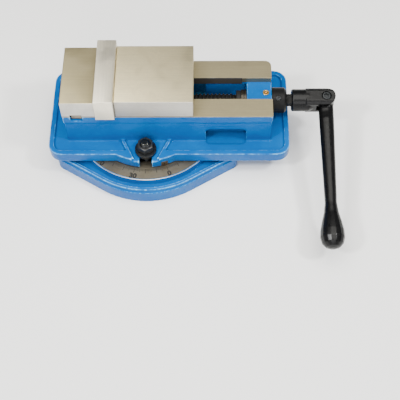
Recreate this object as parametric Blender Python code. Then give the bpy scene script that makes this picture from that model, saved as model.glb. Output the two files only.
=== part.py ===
"""A machine vise on a graduated swivel base, with its crank handle on the screw.

The frame is metres with +Z up. The origin is the swivel axis at the underside of the base, +X runs along
the vise towards the handle, and -Y is the operator's side. The jaws are closed.
"""

import math

import bmesh
import bpy
from mathutils import Matrix, Vector

# Fits between pieces
GAP = 0.0004  # between faces that rest or slide on each other
BOLT_GAP = 0.0005  # around a bolt in its hole
MERGE = 2e-6  # points this close are one point
OVERSHOOT = 0.004  # how far a cutter runs past the face that it opens

# Facets of round pieces
FINE_STEPS = 72  # base rings
ROUND_STEPS = 32  # shafts, collars and bores
SMALL_STEPS = 20  # bolts and small holes

# Swivel base
BASE_MARGIN = 0.013  # from the dial out to the base's round side
BASE_EAR_LENGTH = 0.010  # of a hold-down ear past the round side
BASE_FLANK_ANGLE = math.radians(31.5)  # between an ear's straight flank and the X axis
BASE_EAR_CORNER = 0.010
BASE_SIDE_HEIGHT = 0.0205
BASE_RIM_HEIGHT = 0.0255
BASE_RIM_WIDTH = 0.0065
BASE_TROUGH_HEIGHT = 0.0220
DIAL_MARGIN = 0.037  # from the bolt circle out to the dial's edge
DIAL_HEIGHT = 0.033
BASE_RELIEF_DEPTH = 0.003
BASE_RELIEF_INNER = 0.030
BASE_RELIEF_MARGIN = 0.009  # inside the dial's radius
KEYWAY_WIDTH = 0.014
KEYWAY_DEPTH = 0.005
KEYWAY_END_MARGIN = 0.004  # left closed at the base's front and back
KEY_SCREW_RADIUS = 0.0026
KEY_SCREW_DEPTH = 0.009
HOLD_DOWN_SLOT_WIDTH = 0.0145
HOLD_DOWN_SLOT_MARGIN = 0.012  # from the centre of the slot's round end to the end of the ear

# Swivel clamp bolts in the base's ring slot
SWIVEL_BOLT_OFFSET = 0.015  # from the body's side out to the bolt
SWIVEL_BOLT_RADIUS = 0.006
SWIVEL_BOLT_LENGTH = 0.0545  # from the underside of the head's top face to the end
SWIVEL_BOLT_HEAD = 0.022
SWIVEL_BOLT_HEAD_HEIGHT = 0.008
SLOT_LIP = 0.013  # depth of the narrow part of the ring slot
SLOT_SIDE_CLEARANCE = 0.0020
SLOT_HEAD_CLEARANCE = 0.002
WASHER_RADIUS = 0.014
WASHER_THICKNESS = 0.0045
NUT_FLATS = 0.019
NUT_HEIGHT = 0.0105
NUT_CHAMFER = 0.0012

# Pivot pin between base and bed
PIVOT_RADIUS = 0.014
PIVOT_DEPTH = 0.022  # in the base
PIVOT_REACH = 0.009  # in the bed

# Bed casting
BODY_LEFT = -0.103  # the fixed jaw's outer end
BED_LIP_LEFT = 0.0238  # how far the bed plate stands out past the body
BED_LIP_RIGHT = 0.0239
BED_LIP_SIDE = 0.0235
BED_CORNER = 0.017
BED_FLOOR_THICKNESS = 0.0126
BED_RIM_HEIGHT = 0.0035
BED_RIM_WIDTH = 0.007
BED_LUG_MARGIN = 0.0185  # from the bolt circle out to the lug's round end
DAM_WIDTH = 0.0047
DAM_WALL_X = 0.030
DAM_FRONT_X = 0.0150
BODY_HEIGHT = 0.0530  # from the plate's floor to the top of the rails
WALL_RELIEF = 0.0008
WALL_THICKNESS = 0.0122
RAIL_DEPTH = 0.0126
RAIL_GAP = 0.034
RAIL_END_CORNER_BACK = 0.008
RAIL_END_CORNER_FRONT = 0.0025
CAVITY_FLOOR_EDGE = 0.0032  # above the plate's floor, at the walls
CAVITY_FLOOR_PEAK = 0.0080  # above the plate's floor, under the screw
SUPPORT_LENGTH = 0.032
SUPPORT_DROP = 0.0096  # from the rails down to the top of the screw support
WINDOW_LENGTH = 0.052
WINDOW_HEIGHT = 0.0235
WINDOW_CORNER = 0.005
WINDOW_SCOOP_REACH = 0.0045  # past the body's side
WINDOW_SCOOP_DEPTH = 0.0016  # below the plate's floor

# Jaws
JAW_WIDTH = 0.100
JAW_PLATE_OVERHANG = 0.005
JAW_PLATE_THICKNESS = 0.012
JAW_PLATE_RISE = 0.006  # above the jaws
JAW_HEIGHT = 0.0298
FIXED_JAW_DROP = 0.0025  # of the fixed jaw's top below the movable jaw's
JAW_OPENING = 0.100
FIXED_JAW_LENGTH = 0.0422
MOVABLE_JAW_LENGTH = 0.098
END_MARGIN = 0.0005  # rail left past the movable jaw at full opening
JAW_EDGE = 0.0006
CROSS_KEY_WIDTH = 0.0140
CROSS_KEY_HEIGHT = 0.0115
CROSS_KEY_ABOVE_RAIL = 0.0031
CROSS_KEY_FROM_END = 0.0105
CROSS_KEY_RECESS = 0.003
JAW_BOLT_RADIUS = 0.005
JAW_BOLT_GRIP = 0.0205  # of the bed, between the bolt's seat and the rail top
JAW_BOLT_ENTRY = 0.014  # thread in the fixed jaw
JAW_BOLT_FROM_PLATE = 0.0092
JAW_BOLT_SPREAD = 0.028
PLATE_SCREW_RADIUS = 0.004
PLATE_SCREW_SPREAD_SHARE = 0.6  # of the jaws' width
PLATE_SCREW_ENTRY = 0.014
CAP_HEAD_RATIO = 1.6  # head radius over shank radius of a socket cap screw
KEEL_DEPTH = 0.0085
KEEL_BACK_LENGTH = 0.012
HORN_CLEARANCE = 0.002
KEEL_BACK_MARGIN = 0.012  # from the movable jaw's end
JAW_ROOF = 0.008

# Screw, nut and thrust bearing
SCREW_RISE = 0.0009  # of the axis above the middle of the body's height
SCREW_RADIUS = 0.009
SCREW_FREE_END = 0.014  # left past the nut
SCREW_THREAD_DEPTH = 0.0010
SHOULDER_RADIUS = 0.013
SHOULDER_LENGTH = 0.006
JOURNAL_RADIUS = 0.0098
BEARING_RADIUS = 0.0145
RACE_THICKNESS = 0.002
CAGE_THICKNESS = 0.002
COLLAR_RADIUS = 0.0167
COLLAR_LENGTH = 0.0190
COLLAR_CHAMFER = 0.0030
COLLAR_SCREW_RADIUS = 0.003
COLLAR_SCREW_ANGLE = math.radians(62)  # above the operator's side
HEX_FLATS = 0.014
HEX_LENGTH = 0.024
NUT_BLOCK_LENGTH = 0.035
NUT_BLOCK_CLEARANCE = 0.004  # beside the nut in the cavity
NUT_STOP_MARGIN = 0.006
NUT_HORN_LENGTH = 0.006
NUT_HORN_OVERHANG = 0.012
HALF_BALL_RADIUS = 0.007
HALF_BALL_EXPOSED = 0.004
ADJUSTER_RADIUS = 0.005
ADJUSTER_RECESS = 0.002

# Oil cup on the screw support
OILER_FROM_END = 0.0075
OILER_FLANGE_RADIUS = 0.0042
OILER_FLANGE_HEIGHT = 0.0010
OILER_STEM_RADIUS = 0.003
OILER_STEM_SHARE = 0.725  # of the metal over the journal
OILER_BORE_RADIUS = 0.0019
OILER_BALL_RADIUS = 0.0016
OILER_BALL_SINK = 0.0014  # of the ball's centre below the flange's top

# Handle
HANDLE_DROOP = math.radians(10)  # of the arm below the horizontal, towards the operator
SOCKET_HEX_SHOWN = 0.007  # of the hex left bare between collar and socket
SOCKET_RADIUS = 0.0145
SOCKET_HEX_DEPTH = 0.0185
SOCKET_BARREL_LENGTH = 0.022
SOCKET_PIVOT_FROM_FACE = 0.0445
CLEVIS_RADIUS = 0.0118
CLEVIS_HALF_THICKNESS = 0.0142
CLEVIS_SLOT = 0.0122
TONGUE_RADIUS = 0.0112
HANDLE_PIVOT_RADIUS = 0.004
HANDLE_PIVOT_HEAD_RADIUS = 0.0055
HANDLE_PIVOT_HEAD_DEPTH = 0.0045
HANDLE_CORNERS = 16
# Distance from the pivot, half width and half thickness of the arm, from its tongue to its rounded end
HANDLE_SECTIONS = (
    (0.004, 0.0098, 0.0056),
    (0.018, 0.0098, 0.0056),
    (0.028, 0.0098, 0.0076),
    (0.100, 0.0085, 0.0076),
    (0.143, 0.0077, 0.0077),
    (0.156, 0.0095, 0.0095),
    (0.168, 0.0126, 0.0126),
    (0.179, 0.0149, 0.0149),
    (0.188, 0.0155, 0.0155),
    (0.196, 0.0134, 0.0134),
    (0.2005, 0.0092, 0.0092),
    (0.2025, 0.0040, 0.0040),
)

# Heights and places that follow from the sizes above
BED_BOTTOM = DIAL_HEIGHT + GAP
FLOOR_Z = BED_BOTTOM + BED_FLOOR_THICKNESS
RIM_Z = FLOOR_Z + BED_RIM_HEIGHT
RAIL_Z = FLOOR_Z + BODY_HEIGHT
JAW_BOTTOM = RAIL_Z + GAP
JAW_TOP = JAW_BOTTOM + JAW_HEIGHT
PLATE_TOP = JAW_TOP + JAW_PLATE_RISE
SCREW_Z = FLOOR_Z + BODY_HEIGHT / 2 + SCREW_RISE
SUPPORT_Z = RAIL_Z - SUPPORT_DROP
OILER_STEM_DEPTH = (SUPPORT_Z - SCREW_Z - JOURNAL_RADIUS) * OILER_STEM_SHARE
BODY_HALF_WIDTH = JAW_WIDTH / 2 - JAW_PLATE_OVERHANG
BED_HALF_WIDTH = BODY_HALF_WIDTH + BED_LIP_SIDE
SWIVEL_BOLT_CIRCLE = BODY_HALF_WIDTH + SWIVEL_BOLT_OFFSET
BED_LUG_RADIUS = SWIVEL_BOLT_CIRCLE + BED_LUG_MARGIN
DIAL_RADIUS = SWIVEL_BOLT_CIRCLE + DIAL_MARGIN
BASE_RADIUS = DIAL_RADIUS + BASE_MARGIN
BASE_EAR_REACH = BASE_RADIUS + BASE_EAR_LENGTH
HOLD_DOWN_SLOT_END = BASE_EAR_REACH - HOLD_DOWN_SLOT_MARGIN
BASE_RELIEF_OUTER = DIAL_RADIUS - BASE_RELIEF_MARGIN
PLATE_SCREW_SPREAD = JAW_WIDTH * PLATE_SCREW_SPREAD_SHARE
CAVITY_HALF_WIDTH = BODY_HALF_WIDTH - WALL_RELIEF - WALL_THICKNESS
NUT_BLOCK_HALF_WIDTH = CAVITY_HALF_WIDTH - NUT_BLOCK_CLEARANCE
FIXED_JAW_FACE = BODY_LEFT + FIXED_JAW_LENGTH
FIXED_PLATE_LEFT = FIXED_JAW_FACE + GAP
FIXED_PLATE_RIGHT = FIXED_PLATE_LEFT + JAW_PLATE_THICKNESS
MOVABLE_PLATE_LEFT = FIXED_PLATE_RIGHT + GAP
MOVABLE_PLATE_RIGHT = MOVABLE_PLATE_LEFT + JAW_PLATE_THICKNESS
MOVABLE_JAW_FACE = MOVABLE_PLATE_RIGHT + GAP
MOVABLE_JAW_END = MOVABLE_JAW_FACE + MOVABLE_JAW_LENGTH
BODY_RIGHT = MOVABLE_JAW_END + JAW_OPENING + END_MARGIN
BED_LEFT = BODY_LEFT - BED_LIP_LEFT
BED_RIGHT = BODY_RIGHT + BED_LIP_RIGHT
SUPPORT_LEFT = BODY_RIGHT - SUPPORT_LENGTH
CAGE_RIGHT = SUPPORT_LEFT - GAP - RACE_THICKNESS - GAP
CAGE_LEFT = CAGE_RIGHT - CAGE_THICKNESS
INNER_RACE_LEFT = CAGE_LEFT - GAP - RACE_THICKNESS
SHOULDER_RIGHT = INNER_RACE_LEFT - GAP
SHOULDER_LEFT = SHOULDER_RIGHT - SHOULDER_LENGTH
NUT_RIGHT = SHOULDER_LEFT - NUT_STOP_MARGIN - JAW_OPENING
NUT_LEFT = NUT_RIGHT - NUT_BLOCK_LENGTH
SCREW_LEFT = NUT_LEFT - SCREW_FREE_END
CAVITY_LEFT = SCREW_LEFT - 0.010
COLLAR_LEFT = BODY_RIGHT + GAP
COLLAR_RIGHT = COLLAR_LEFT + COLLAR_LENGTH
HEX_RIGHT = COLLAR_RIGHT + HEX_LENGTH
SOCKET_LEFT = COLLAR_RIGHT + SOCKET_HEX_SHOWN
HANDLE_PIVOT_X = SOCKET_LEFT + SOCKET_PIVOT_FROM_FACE
PLATE_SCREW_Z = (JAW_BOTTOM + PLATE_TOP) / 2
CAP_HEAD_PLATE = PLATE_SCREW_RADIUS * CAP_HEAD_RATIO
CAP_HEAD_JAW = JAW_BOLT_RADIUS * CAP_HEAD_RATIO
JAW_BOLT_SEAT = RAIL_Z - JAW_BOLT_GRIP
HORN_TOP = JAW_TOP - JAW_ROOF - 2 * GAP
SLOT_HALF_WIDTH = SWIVEL_BOLT_RADIUS + SLOT_SIDE_CLEARANCE
SLOT_HEAD_HALF_WIDTH = SWIVEL_BOLT_HEAD / 2 + SLOT_HEAD_CLEARANCE
SLOT_HEAD_TOP = DIAL_HEIGHT - SLOT_LIP
SLOT_BOTTOM = SLOT_HEAD_TOP - SWIVEL_BOLT_HEAD_HEIGHT - SLOT_HEAD_CLEARANCE


# Outlines, as lists of points in the plane that a prism is drawn from


def arc(centre, radius, start, end, steps):
    """Points along an arc, from the start angle to the end angle, both included."""
    turn = (end - start) / steps
    return [
        (
            centre[0] + radius * math.cos(start + turn * i),
            centre[1] + radius * math.sin(start + turn * i),
        )
        for i in range(steps + 1)
    ]


def rectangle(left, right, bottom, top):
    return [(left, bottom), (right, bottom), (right, top), (left, top)]


def rounded_rectangle(left, right, bottom, top, radii, steps=5):
    """A rectangle with the four given corner radii, from the lower left corner anticlockwise."""
    corners = (
        (left, bottom, 1, 1, math.pi),
        (right, bottom, -1, 1, 1.5 * math.pi),
        (right, top, -1, -1, 0.0),
        (left, top, 1, -1, 0.5 * math.pi),
    )
    points = []
    for (x, y, inward_x, inward_y, start), radius in zip(corners, radii):
        centre = (x + inward_x * radius, y + inward_y * radius)
        points += arc(centre, radius, start, start + math.pi / 2, steps)
    return points


def base_outline(inset):
    """The base's plan: round at front and back, with straight flanks running out to two blunt ears."""
    radius = BASE_RADIUS - inset
    reach = BASE_EAR_REACH - inset
    corner = max(BASE_EAR_CORNER - inset, 0.001)
    flank = BASE_FLANK_ANGLE
    corner_x = reach - corner
    corner_y = (radius - corner - corner_x * math.sin(flank)) / math.cos(flank)
    quarter = arc((corner_x, corner_y), corner, 0, math.pi / 2 - flank, 4)
    back = arc((0, 0), radius, math.pi / 2 - flank, math.pi / 2 + flank, 14)
    upper = quarter + back + [(-x, y) for x, y in reversed(quarter)]
    return upper + [(-x, -y) for x, y in upper]


def hexagon(flats):
    """A hexagon with a flat facing the first axis."""
    return arc((0, 0), flats / math.sqrt(3), math.pi / 6, 11 * math.pi / 6, 5)


# Solids


def finish_mesh(name, bm, parent, hidden=False):
    """Turns a bmesh into a linked object that hangs on its parent empty."""
    bmesh.ops.remove_doubles(bm, verts=bm.verts, dist=MERGE)
    bmesh.ops.recalc_face_normals(bm, faces=bm.faces)
    mesh = bpy.data.meshes.new(name)
    bm.to_mesh(mesh)
    bm.free()
    obj = bpy.data.objects.new(name, mesh)
    obj.parent = parent
    bpy.context.scene.collection.objects.link(obj)
    if hidden:
        obj.hide_render = True
        obj.display_type = "WIRE"
    return obj


def along(axis, u, v, w):
    """A point whose outline coordinates are u and v, at w along the named axis."""
    return {"X": (w, u, v), "Y": (u, w, v), "Z": (u, v, w)}[axis]


def prism(name, outline, low, high, parent, axis="Z", hidden=False):
    """An outline drawn square to an axis and extruded along it. Square to X it is (y, z), to Y (x, z)."""
    bm = bmesh.new()
    face = bm.faces.new([bm.verts.new(along(axis, u, v, low)) for u, v in outline])
    made = bmesh.ops.extrude_face_region(bm, geom=[face])["geom"]
    moved = [g for g in made if isinstance(g, bmesh.types.BMVert)]
    bmesh.ops.translate(bm, verts=moved, vec=Vector(along(axis, 0, 0, high - low)))
    return finish_mesh(name, bm, parent, hidden)


def turned(name, profile, parent, axis="Z", at=(0, 0, 0), steps=ROUND_STEPS, ring=False, hidden=False):
    """A profile of (radius, along) points spun about an axis. A ring's profile closes on itself."""
    bm = bmesh.new()
    verts = [bm.verts.new((radius, 0, height)) for radius, height in profile]
    pairs = list(zip(verts, verts[1:]))
    if ring:
        pairs.append((verts[-1], verts[0]))
    edges = [bm.edges.new(pair) for pair in pairs]
    bmesh.ops.spin(bm, geom=verts + edges, axis=(0, 0, 1), cent=(0, 0, 0), steps=steps, angle=2 * math.pi)
    turn = {"X": ("Y", math.pi / 2), "Y": ("X", -math.pi / 2), "Z": ("Z", 0.0)}[axis]
    bm.transform(Matrix.Translation(at) @ Matrix.Rotation(turn[1], 4, turn[0]))
    return finish_mesh(name, bm, parent, hidden)


def disc(radius, low, high):
    return [(0, low), (radius, low), (radius, high), (0, high)]


def counterbore(hole, start, step, head, end):
    """A hole that widens at the step, and runs from start to end in whichever direction."""
    return [(0, start), (hole, start), (hole, step), (head, step), (head, end), (0, end)]


def washer_profile(inner, outer, low, high):
    return [(inner, low), (outer, low), (outer, high), (inner, high)]


def ball(name, radius, at, parent, hidden=False):
    bm = bmesh.new()
    bmesh.ops.create_uvsphere(bm, u_segments=SMALL_STEPS, v_segments=SMALL_STEPS // 2, radius=radius)
    bm.transform(Matrix.Translation(at))
    return finish_mesh(name, bm, parent, hidden)


def boolean(target, other, operation):
    modifier = target.modifiers.new(other.name, "BOOLEAN")
    modifier.object = other
    modifier.operation = operation


def cut(target, *cutters):
    for cutter in cutters:
        boolean(target, cutter, "DIFFERENCE")


def join(target, *pieces):
    for piece in pieces:
        boolean(target, piece, "UNION")


def bevel(target, width, segments=1):
    modifier = target.modifiers.new("edges", "BEVEL")
    modifier.width = width
    modifier.segments = segments


def frame(name, location, parent=None, rotation=(0, 0, 0)):
    """An empty that stands on a joint's axis and carries the pieces that turn or slide with it."""
    empty = bpy.data.objects.new(name, None)
    empty.location = location
    empty.rotation_euler = rotation
    empty.parent = parent
    bpy.context.scene.collection.objects.link(empty)
    return empty


# Materials


def material(name, colour, roughness, metallic):
    made = bpy.data.materials.new(name)
    made.use_nodes = True
    shader = made.node_tree.nodes["Principled BSDF"]
    shader.inputs["Base Color"].default_value = (*colour, 1.0)
    shader.inputs["Roughness"].default_value = roughness
    shader.inputs["Metallic"].default_value = metallic
    return made


def dress(finish, *pieces):
    """Gives pieces their material, and shades their round faces smooth."""
    for piece in pieces:
        piece.data.materials.append(finish)
        piece.data.shade_smooth()
        piece.data.set_sharp_from_angle(angle=math.radians(30))


# Swivel base


def make_base(parent):
    """The base casting: blunt-eared plan, raised rim and trough, dial disc, ring slot and keyways."""
    base = prism("swivel_base", base_outline(0), 0, BASE_SIDE_HEIGHT, parent)
    rim = prism("base_rim", base_outline(0.002), BASE_SIDE_HEIGHT / 2, BASE_RIM_HEIGHT, parent, hidden=True)
    trough = prism(
        "base_trough", base_outline(BASE_RIM_WIDTH), BASE_TROUGH_HEIGHT, DIAL_HEIGHT, parent, hidden=True
    )
    dial = turned(
        "base_dial", disc(DIAL_RADIUS, BASE_SIDE_HEIGHT / 2, DIAL_HEIGHT), parent, steps=FINE_STEPS, hidden=True
    )
    join(base, rim)
    cut(base, trough)
    join(base, dial)
    cut(base, *ring_slot_cutters(parent), *underside_cutters(parent), *hold_down_cutters(parent))
    cut(base, turned("pivot_seat", disc(PIVOT_RADIUS + GAP, DIAL_HEIGHT - PIVOT_DEPTH - GAP,
                                        DIAL_HEIGHT + OVERSHOOT), parent, hidden=True))
    return base


def ring_slot_cutters(parent):
    """The T-shaped ring slot that the swivel bolts' heads ride in, and the hole that lets them in."""
    inner, outer = SWIVEL_BOLT_CIRCLE - SLOT_HALF_WIDTH, SWIVEL_BOLT_CIRCLE + SLOT_HALF_WIDTH
    narrow = washer_profile(inner, outer, SLOT_HEAD_TOP - GAP, DIAL_HEIGHT + OVERSHOOT)
    inner, outer = SWIVEL_BOLT_CIRCLE - SLOT_HEAD_HALF_WIDTH, SWIVEL_BOLT_CIRCLE + SLOT_HEAD_HALF_WIDTH
    wide = washer_profile(inner, outer, SLOT_BOTTOM, SLOT_HEAD_TOP)
    entry = rectangle(-outer, -inner, -SLOT_HEAD_HALF_WIDTH, SLOT_HEAD_HALF_WIDTH)
    return (
        turned("ring_slot", narrow, parent, steps=FINE_STEPS, ring=True, hidden=True),
        turned("ring_slot_head", wide, parent, steps=FINE_STEPS, ring=True, hidden=True),
        prism("bolt_entry", entry, SLOT_HEAD_TOP - OVERSHOOT, DIAL_HEIGHT + OVERSHOOT, parent, hidden=True),
    )


def underside_cutters(parent):
    """The relief between the base's two machined pads, and four keyways with their tapped holes."""
    relief = washer_profile(BASE_RELIEF_INNER, BASE_RELIEF_OUTER, -OVERSHOOT, BASE_RELIEF_DEPTH)
    cutters = [turned("underside_relief", relief, parent, steps=ROUND_STEPS, ring=True, hidden=True)]
    for index in range(4):
        reach = HOLD_DOWN_SLOT_END if index % 2 == 0 else BASE_RADIUS - KEYWAY_END_MARGIN
        turn = Matrix.Rotation(index * math.pi / 2, 4, "Z")
        slot = rectangle(BASE_RELIEF_OUTER - OVERSHOOT, reach, -KEYWAY_WIDTH / 2, KEYWAY_WIDTH / 2)
        keyway = prism(f"keyway_{index}", slot, -OVERSHOOT, KEYWAY_DEPTH, parent, hidden=True)
        keyway.data.transform(turn)
        tapped = turned(
            f"key_screw_hole_{index}", disc(KEY_SCREW_RADIUS, -OVERSHOOT, KEYWAY_DEPTH + KEY_SCREW_DEPTH),
            parent, at=((BASE_RELIEF_OUTER + BASE_RADIUS) / 2 - OVERSHOOT, 0, 0), steps=SMALL_STEPS, hidden=True,
        )
        tapped.data.transform(turn)
        cutters += [keyway, tapped]
    return cutters


def hold_down_cutters(parent):
    """The open slot in each ear that a table bolt passes through."""
    half = HOLD_DOWN_SLOT_WIDTH / 2
    end = arc((HOLD_DOWN_SLOT_END, 0), half, math.pi / 2, 1.5 * math.pi, 8)
    outline = end + [(BASE_EAR_REACH + OVERSHOOT, -half), (BASE_EAR_REACH + OVERSHOOT, half)]
    right = prism("hold_down_right", outline, -OVERSHOOT, DIAL_HEIGHT + OVERSHOOT, parent, hidden=True)
    left = prism("hold_down_left", [(-x, y) for x, y in outline], -OVERSHOOT, DIAL_HEIGHT + OVERSHOOT,
                 parent, hidden=True)
    return right, left


def make_pivot(parent):
    low = DIAL_HEIGHT - PIVOT_DEPTH
    high = DIAL_HEIGHT + PIVOT_REACH
    chamfer = 0.001
    profile = [(0, low), (PIVOT_RADIUS, low), (PIVOT_RADIUS, high - chamfer), (PIVOT_RADIUS - chamfer, high), (0, high)]
    return turned("pivot_pin", profile, parent)


# Swivel clamps, front and back


def make_swivel_clamp(side, bolt_parent, washer_parent, nut_parent):
    """A T-bolt, washer and nut. The parents' origins are on the bolt's axis, on the base's underside plane."""
    half = SWIVEL_BOLT_HEAD / 2
    head_low = SLOT_HEAD_TOP - GAP - SWIVEL_BOLT_HEAD_HEIGHT
    head = rectangle(-half, half, -half, half)
    bolt = prism(f"{side}_swivel_bolt", head, head_low, SLOT_HEAD_TOP - GAP, bolt_parent)
    bevel(bolt, 0.001)
    end = SLOT_HEAD_TOP - GAP + SWIVEL_BOLT_LENGTH - SWIVEL_BOLT_HEAD_HEIGHT
    tip = 0.0012
    profile = [
        (0, head_low + GAP),
        (SWIVEL_BOLT_RADIUS, head_low + GAP),
        (SWIVEL_BOLT_RADIUS, end - tip),
        (SWIVEL_BOLT_RADIUS - tip, end),
        (0, end),
    ]
    shank = turned(f"{side}_shank", profile, bolt_parent, steps=SMALL_STEPS, hidden=True)
    join(bolt, shank)
    bore = SWIVEL_BOLT_RADIUS + BOLT_GAP
    washer_low = FLOOR_Z + GAP
    washer_high = washer_low + WASHER_THICKNESS
    washer = turned(
        f"{side}_washer", washer_profile(bore, WASHER_RADIUS, washer_low, washer_high), washer_parent, ring=True
    )
    nut_low = washer_high + GAP
    nut_high = nut_low + NUT_HEIGHT
    nut = prism(f"{side}_nut", hexagon(NUT_FLATS), nut_low, nut_high, nut_parent)
    corner = NUT_FLATS / math.sqrt(3)
    crown = [
        (0, nut_low - OVERSHOOT),
        (corner + OVERSHOOT, nut_low - OVERSHOOT),
        (corner + OVERSHOOT, nut_high - NUT_CHAMFER - OVERSHOOT * math.tan(math.pi / 6)),
        (NUT_FLATS / 2, nut_high),
        (0, nut_high),
    ]
    crown_cone = turned(f"{side}_nut_crown", crown, nut_parent, hidden=True)
    boolean(nut, crown_cone, "INTERSECT")
    hole = disc(bore, nut_low - OVERSHOOT, nut_high + OVERSHOOT)
    cut(nut, turned(f"{side}_nut_hole", hole, nut_parent, steps=SMALL_STEPS, hidden=True))
    return bolt, washer, nut


# Bed casting


def make_bed(parent):
    """The bed casting: guttered plate, hollow body with two rails, screw support, windows and bores."""
    plate_outline = rounded_rectangle(BED_LEFT, BED_RIGHT, -BED_HALF_WIDTH, BED_HALF_WIDTH, [BED_CORNER] * 4)
    bed = prism("bed", plate_outline, BED_BOTTOM, RIM_Z, parent)
    lug = turned("bed_lug", disc(BED_LUG_RADIUS, BED_BOTTOM, RIM_Z), parent, steps=FINE_STEPS, hidden=True)
    join(bed, lug)
    cut(bed, *gutter_cutters(parent))
    join(bed, *body_solids(parent), *dams(parent))
    cut(bed, *cavity_cutters(parent), *bed_bore_cutters(parent))
    return bed


def gutter_cutters(parent):
    """The coolant gutter inside the plate's rim, the nut seats between the dams, and the open bolt slots."""
    inset = BED_RIM_WIDTH
    corner = BED_CORNER - inset
    outline = rounded_rectangle(
        BED_LEFT + inset, BED_RIGHT - inset, -BED_HALF_WIDTH + inset, BED_HALF_WIDTH - inset, [corner] * 4
    )
    gutter = prism("gutter", outline, FLOOR_Z, RIM_Z + OVERSHOOT, parent, hidden=True)
    outer_y = BED_LUG_RADIUS + OVERSHOOT
    seat = [(-DAM_WALL_X, -BODY_HALF_WIDTH), (-DAM_FRONT_X, -outer_y), (DAM_FRONT_X, -outer_y),
            (DAM_WALL_X, -BODY_HALF_WIDTH)]
    half = SLOT_HALF_WIDTH
    slot = arc((0, -SWIVEL_BOLT_CIRCLE), half, 0, math.pi, 8) + [(-half, -outer_y), (half, -outer_y)]
    cutters = [gutter]
    for side, sign in (("front", 1), ("back", -1)):
        seat_here = [(x * sign, y * sign) for x, y in seat]
        slot_here = [(x * sign, y * sign) for x, y in slot]
        cutters.append(prism(f"{side}_nut_seat", seat_here, FLOOR_Z, RIM_Z + OVERSHOOT, parent, hidden=True))
        cutters.append(prism(f"{side}_bolt_slot", slot_here, BED_BOTTOM - OVERSHOOT, RIM_Z + OVERSHOOT,
                             parent, hidden=True))
    return cutters


def dams(parent):
    """The four low ribs that close the gutter off from the swivel nuts."""
    wall_y = BODY_HALF_WIDTH - OVERSHOOT
    front_y = math.sqrt(BED_LUG_RADIUS**2 - (DAM_FRONT_X + DAM_WIDTH) ** 2) - BED_RIM_WIDTH / 4
    outline = [
        (DAM_WALL_X, wall_y),
        (DAM_WALL_X + DAM_WIDTH, wall_y),
        (DAM_FRONT_X + DAM_WIDTH, front_y),
        (DAM_FRONT_X, front_y),
    ]
    made = []
    for name, sign_x, sign_y in (("fl", -1, -1), ("fr", 1, -1), ("bl", -1, 1), ("br", 1, 1)):
        here = [(x * sign_x, y * sign_y) for x, y in outline]
        made.append(prism(f"dam_{name}", here, FLOOR_Z - OVERSHOOT, RIM_Z, parent, hidden=True))
    return made


def body_solids(parent):
    """The body above the plate: a relieved lower wall, and the rails standing slightly proud of it."""
    waist = BODY_HALF_WIDTH - WALL_RELIEF
    low = FLOOR_Z - OVERSHOOT
    rail_low = RAIL_Z - RAIL_DEPTH - WALL_RELIEF
    lower = rounded_rectangle(
        BODY_LEFT + WALL_RELIEF / 2, BODY_RIGHT - WALL_RELIEF / 2, -waist, waist,
        (RAIL_END_CORNER_FRONT, RAIL_END_CORNER_FRONT, RAIL_END_CORNER_BACK, RAIL_END_CORNER_FRONT), steps=3,
    )
    upper = rounded_rectangle(
        BODY_LEFT, BODY_RIGHT, -BODY_HALF_WIDTH, BODY_HALF_WIDTH,
        (JAW_EDGE, RAIL_END_CORNER_FRONT, RAIL_END_CORNER_BACK, JAW_EDGE), steps=3,
    )
    return (
        prism("lower_body", lower, low, rail_low + OVERSHOOT, parent, hidden=True),
        prism("rail_body", upper, rail_low, RAIL_Z, parent, hidden=True),
    )


def cavity_cutters(parent):
    """The space between and under the rails, its sloping floor, and the two chip windows."""
    floor_edge = FLOOR_Z + CAVITY_FLOOR_EDGE
    floor_peak = FLOOR_Z + CAVITY_FLOOR_PEAK
    rail_under = RAIL_Z - RAIL_DEPTH
    half = CAVITY_HALF_WIDTH
    section = [(-half, floor_edge), (0, floor_peak), (half, floor_edge), (half, rail_under), (-half, rail_under)]
    cavity = prism("cavity", section, CAVITY_LEFT, SUPPORT_LEFT, parent, axis="X", hidden=True)
    gap_half = RAIL_GAP / 2
    gap = prism("rail_gap", rectangle(-gap_half, gap_half, rail_under - OVERSHOOT, RAIL_Z + OVERSHOOT),
                CAVITY_LEFT, SUPPORT_LEFT, parent, axis="X", hidden=True)
    over_support = prism(
        "support_top", rectangle(-gap_half, gap_half, SUPPORT_Z, RAIL_Z + OVERSHOOT),
        SUPPORT_LEFT - OVERSHOOT, BODY_RIGHT + OVERSHOOT, parent, axis="X", hidden=True,
    )
    cutters = [cavity, gap, over_support]
    window_right = SUPPORT_LEFT - 0.001
    outline = rounded_rectangle(
        window_right - WINDOW_LENGTH, window_right, FLOOR_Z, FLOOR_Z + WINDOW_HEIGHT,
        (WINDOW_CORNER / 2, WINDOW_CORNER / 2, WINDOW_CORNER, WINDOW_CORNER), steps=3,
    )
    for side, sign in (("front", -1), ("back", 1)):
        near, far = sorted((sign * (half - OVERSHOOT), sign * (BODY_HALF_WIDTH + OVERSHOOT)))
        cutters.append(prism(f"{side}_window", outline, near, far, parent, axis="Y", hidden=True))
        near, far = sorted((sign * (half - OVERSHOOT), sign * (BODY_HALF_WIDTH + WINDOW_SCOOP_REACH)))
        round_corner = (WINDOW_SCOOP_REACH,) * 2
        scoop = rounded_rectangle(window_right - WINDOW_LENGTH, window_right, near, far,
                                  round_corner + (0.001,) * 2 if sign < 0 else (0.001,) * 2 + round_corner, steps=4)
        cutters.append(prism(f"{side}_window_scoop", scoop, FLOOR_Z - WINDOW_SCOOP_DEPTH, FLOOR_Z + WINDOW_HEIGHT / 2,
                             parent, hidden=True))
    return cutters


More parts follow.
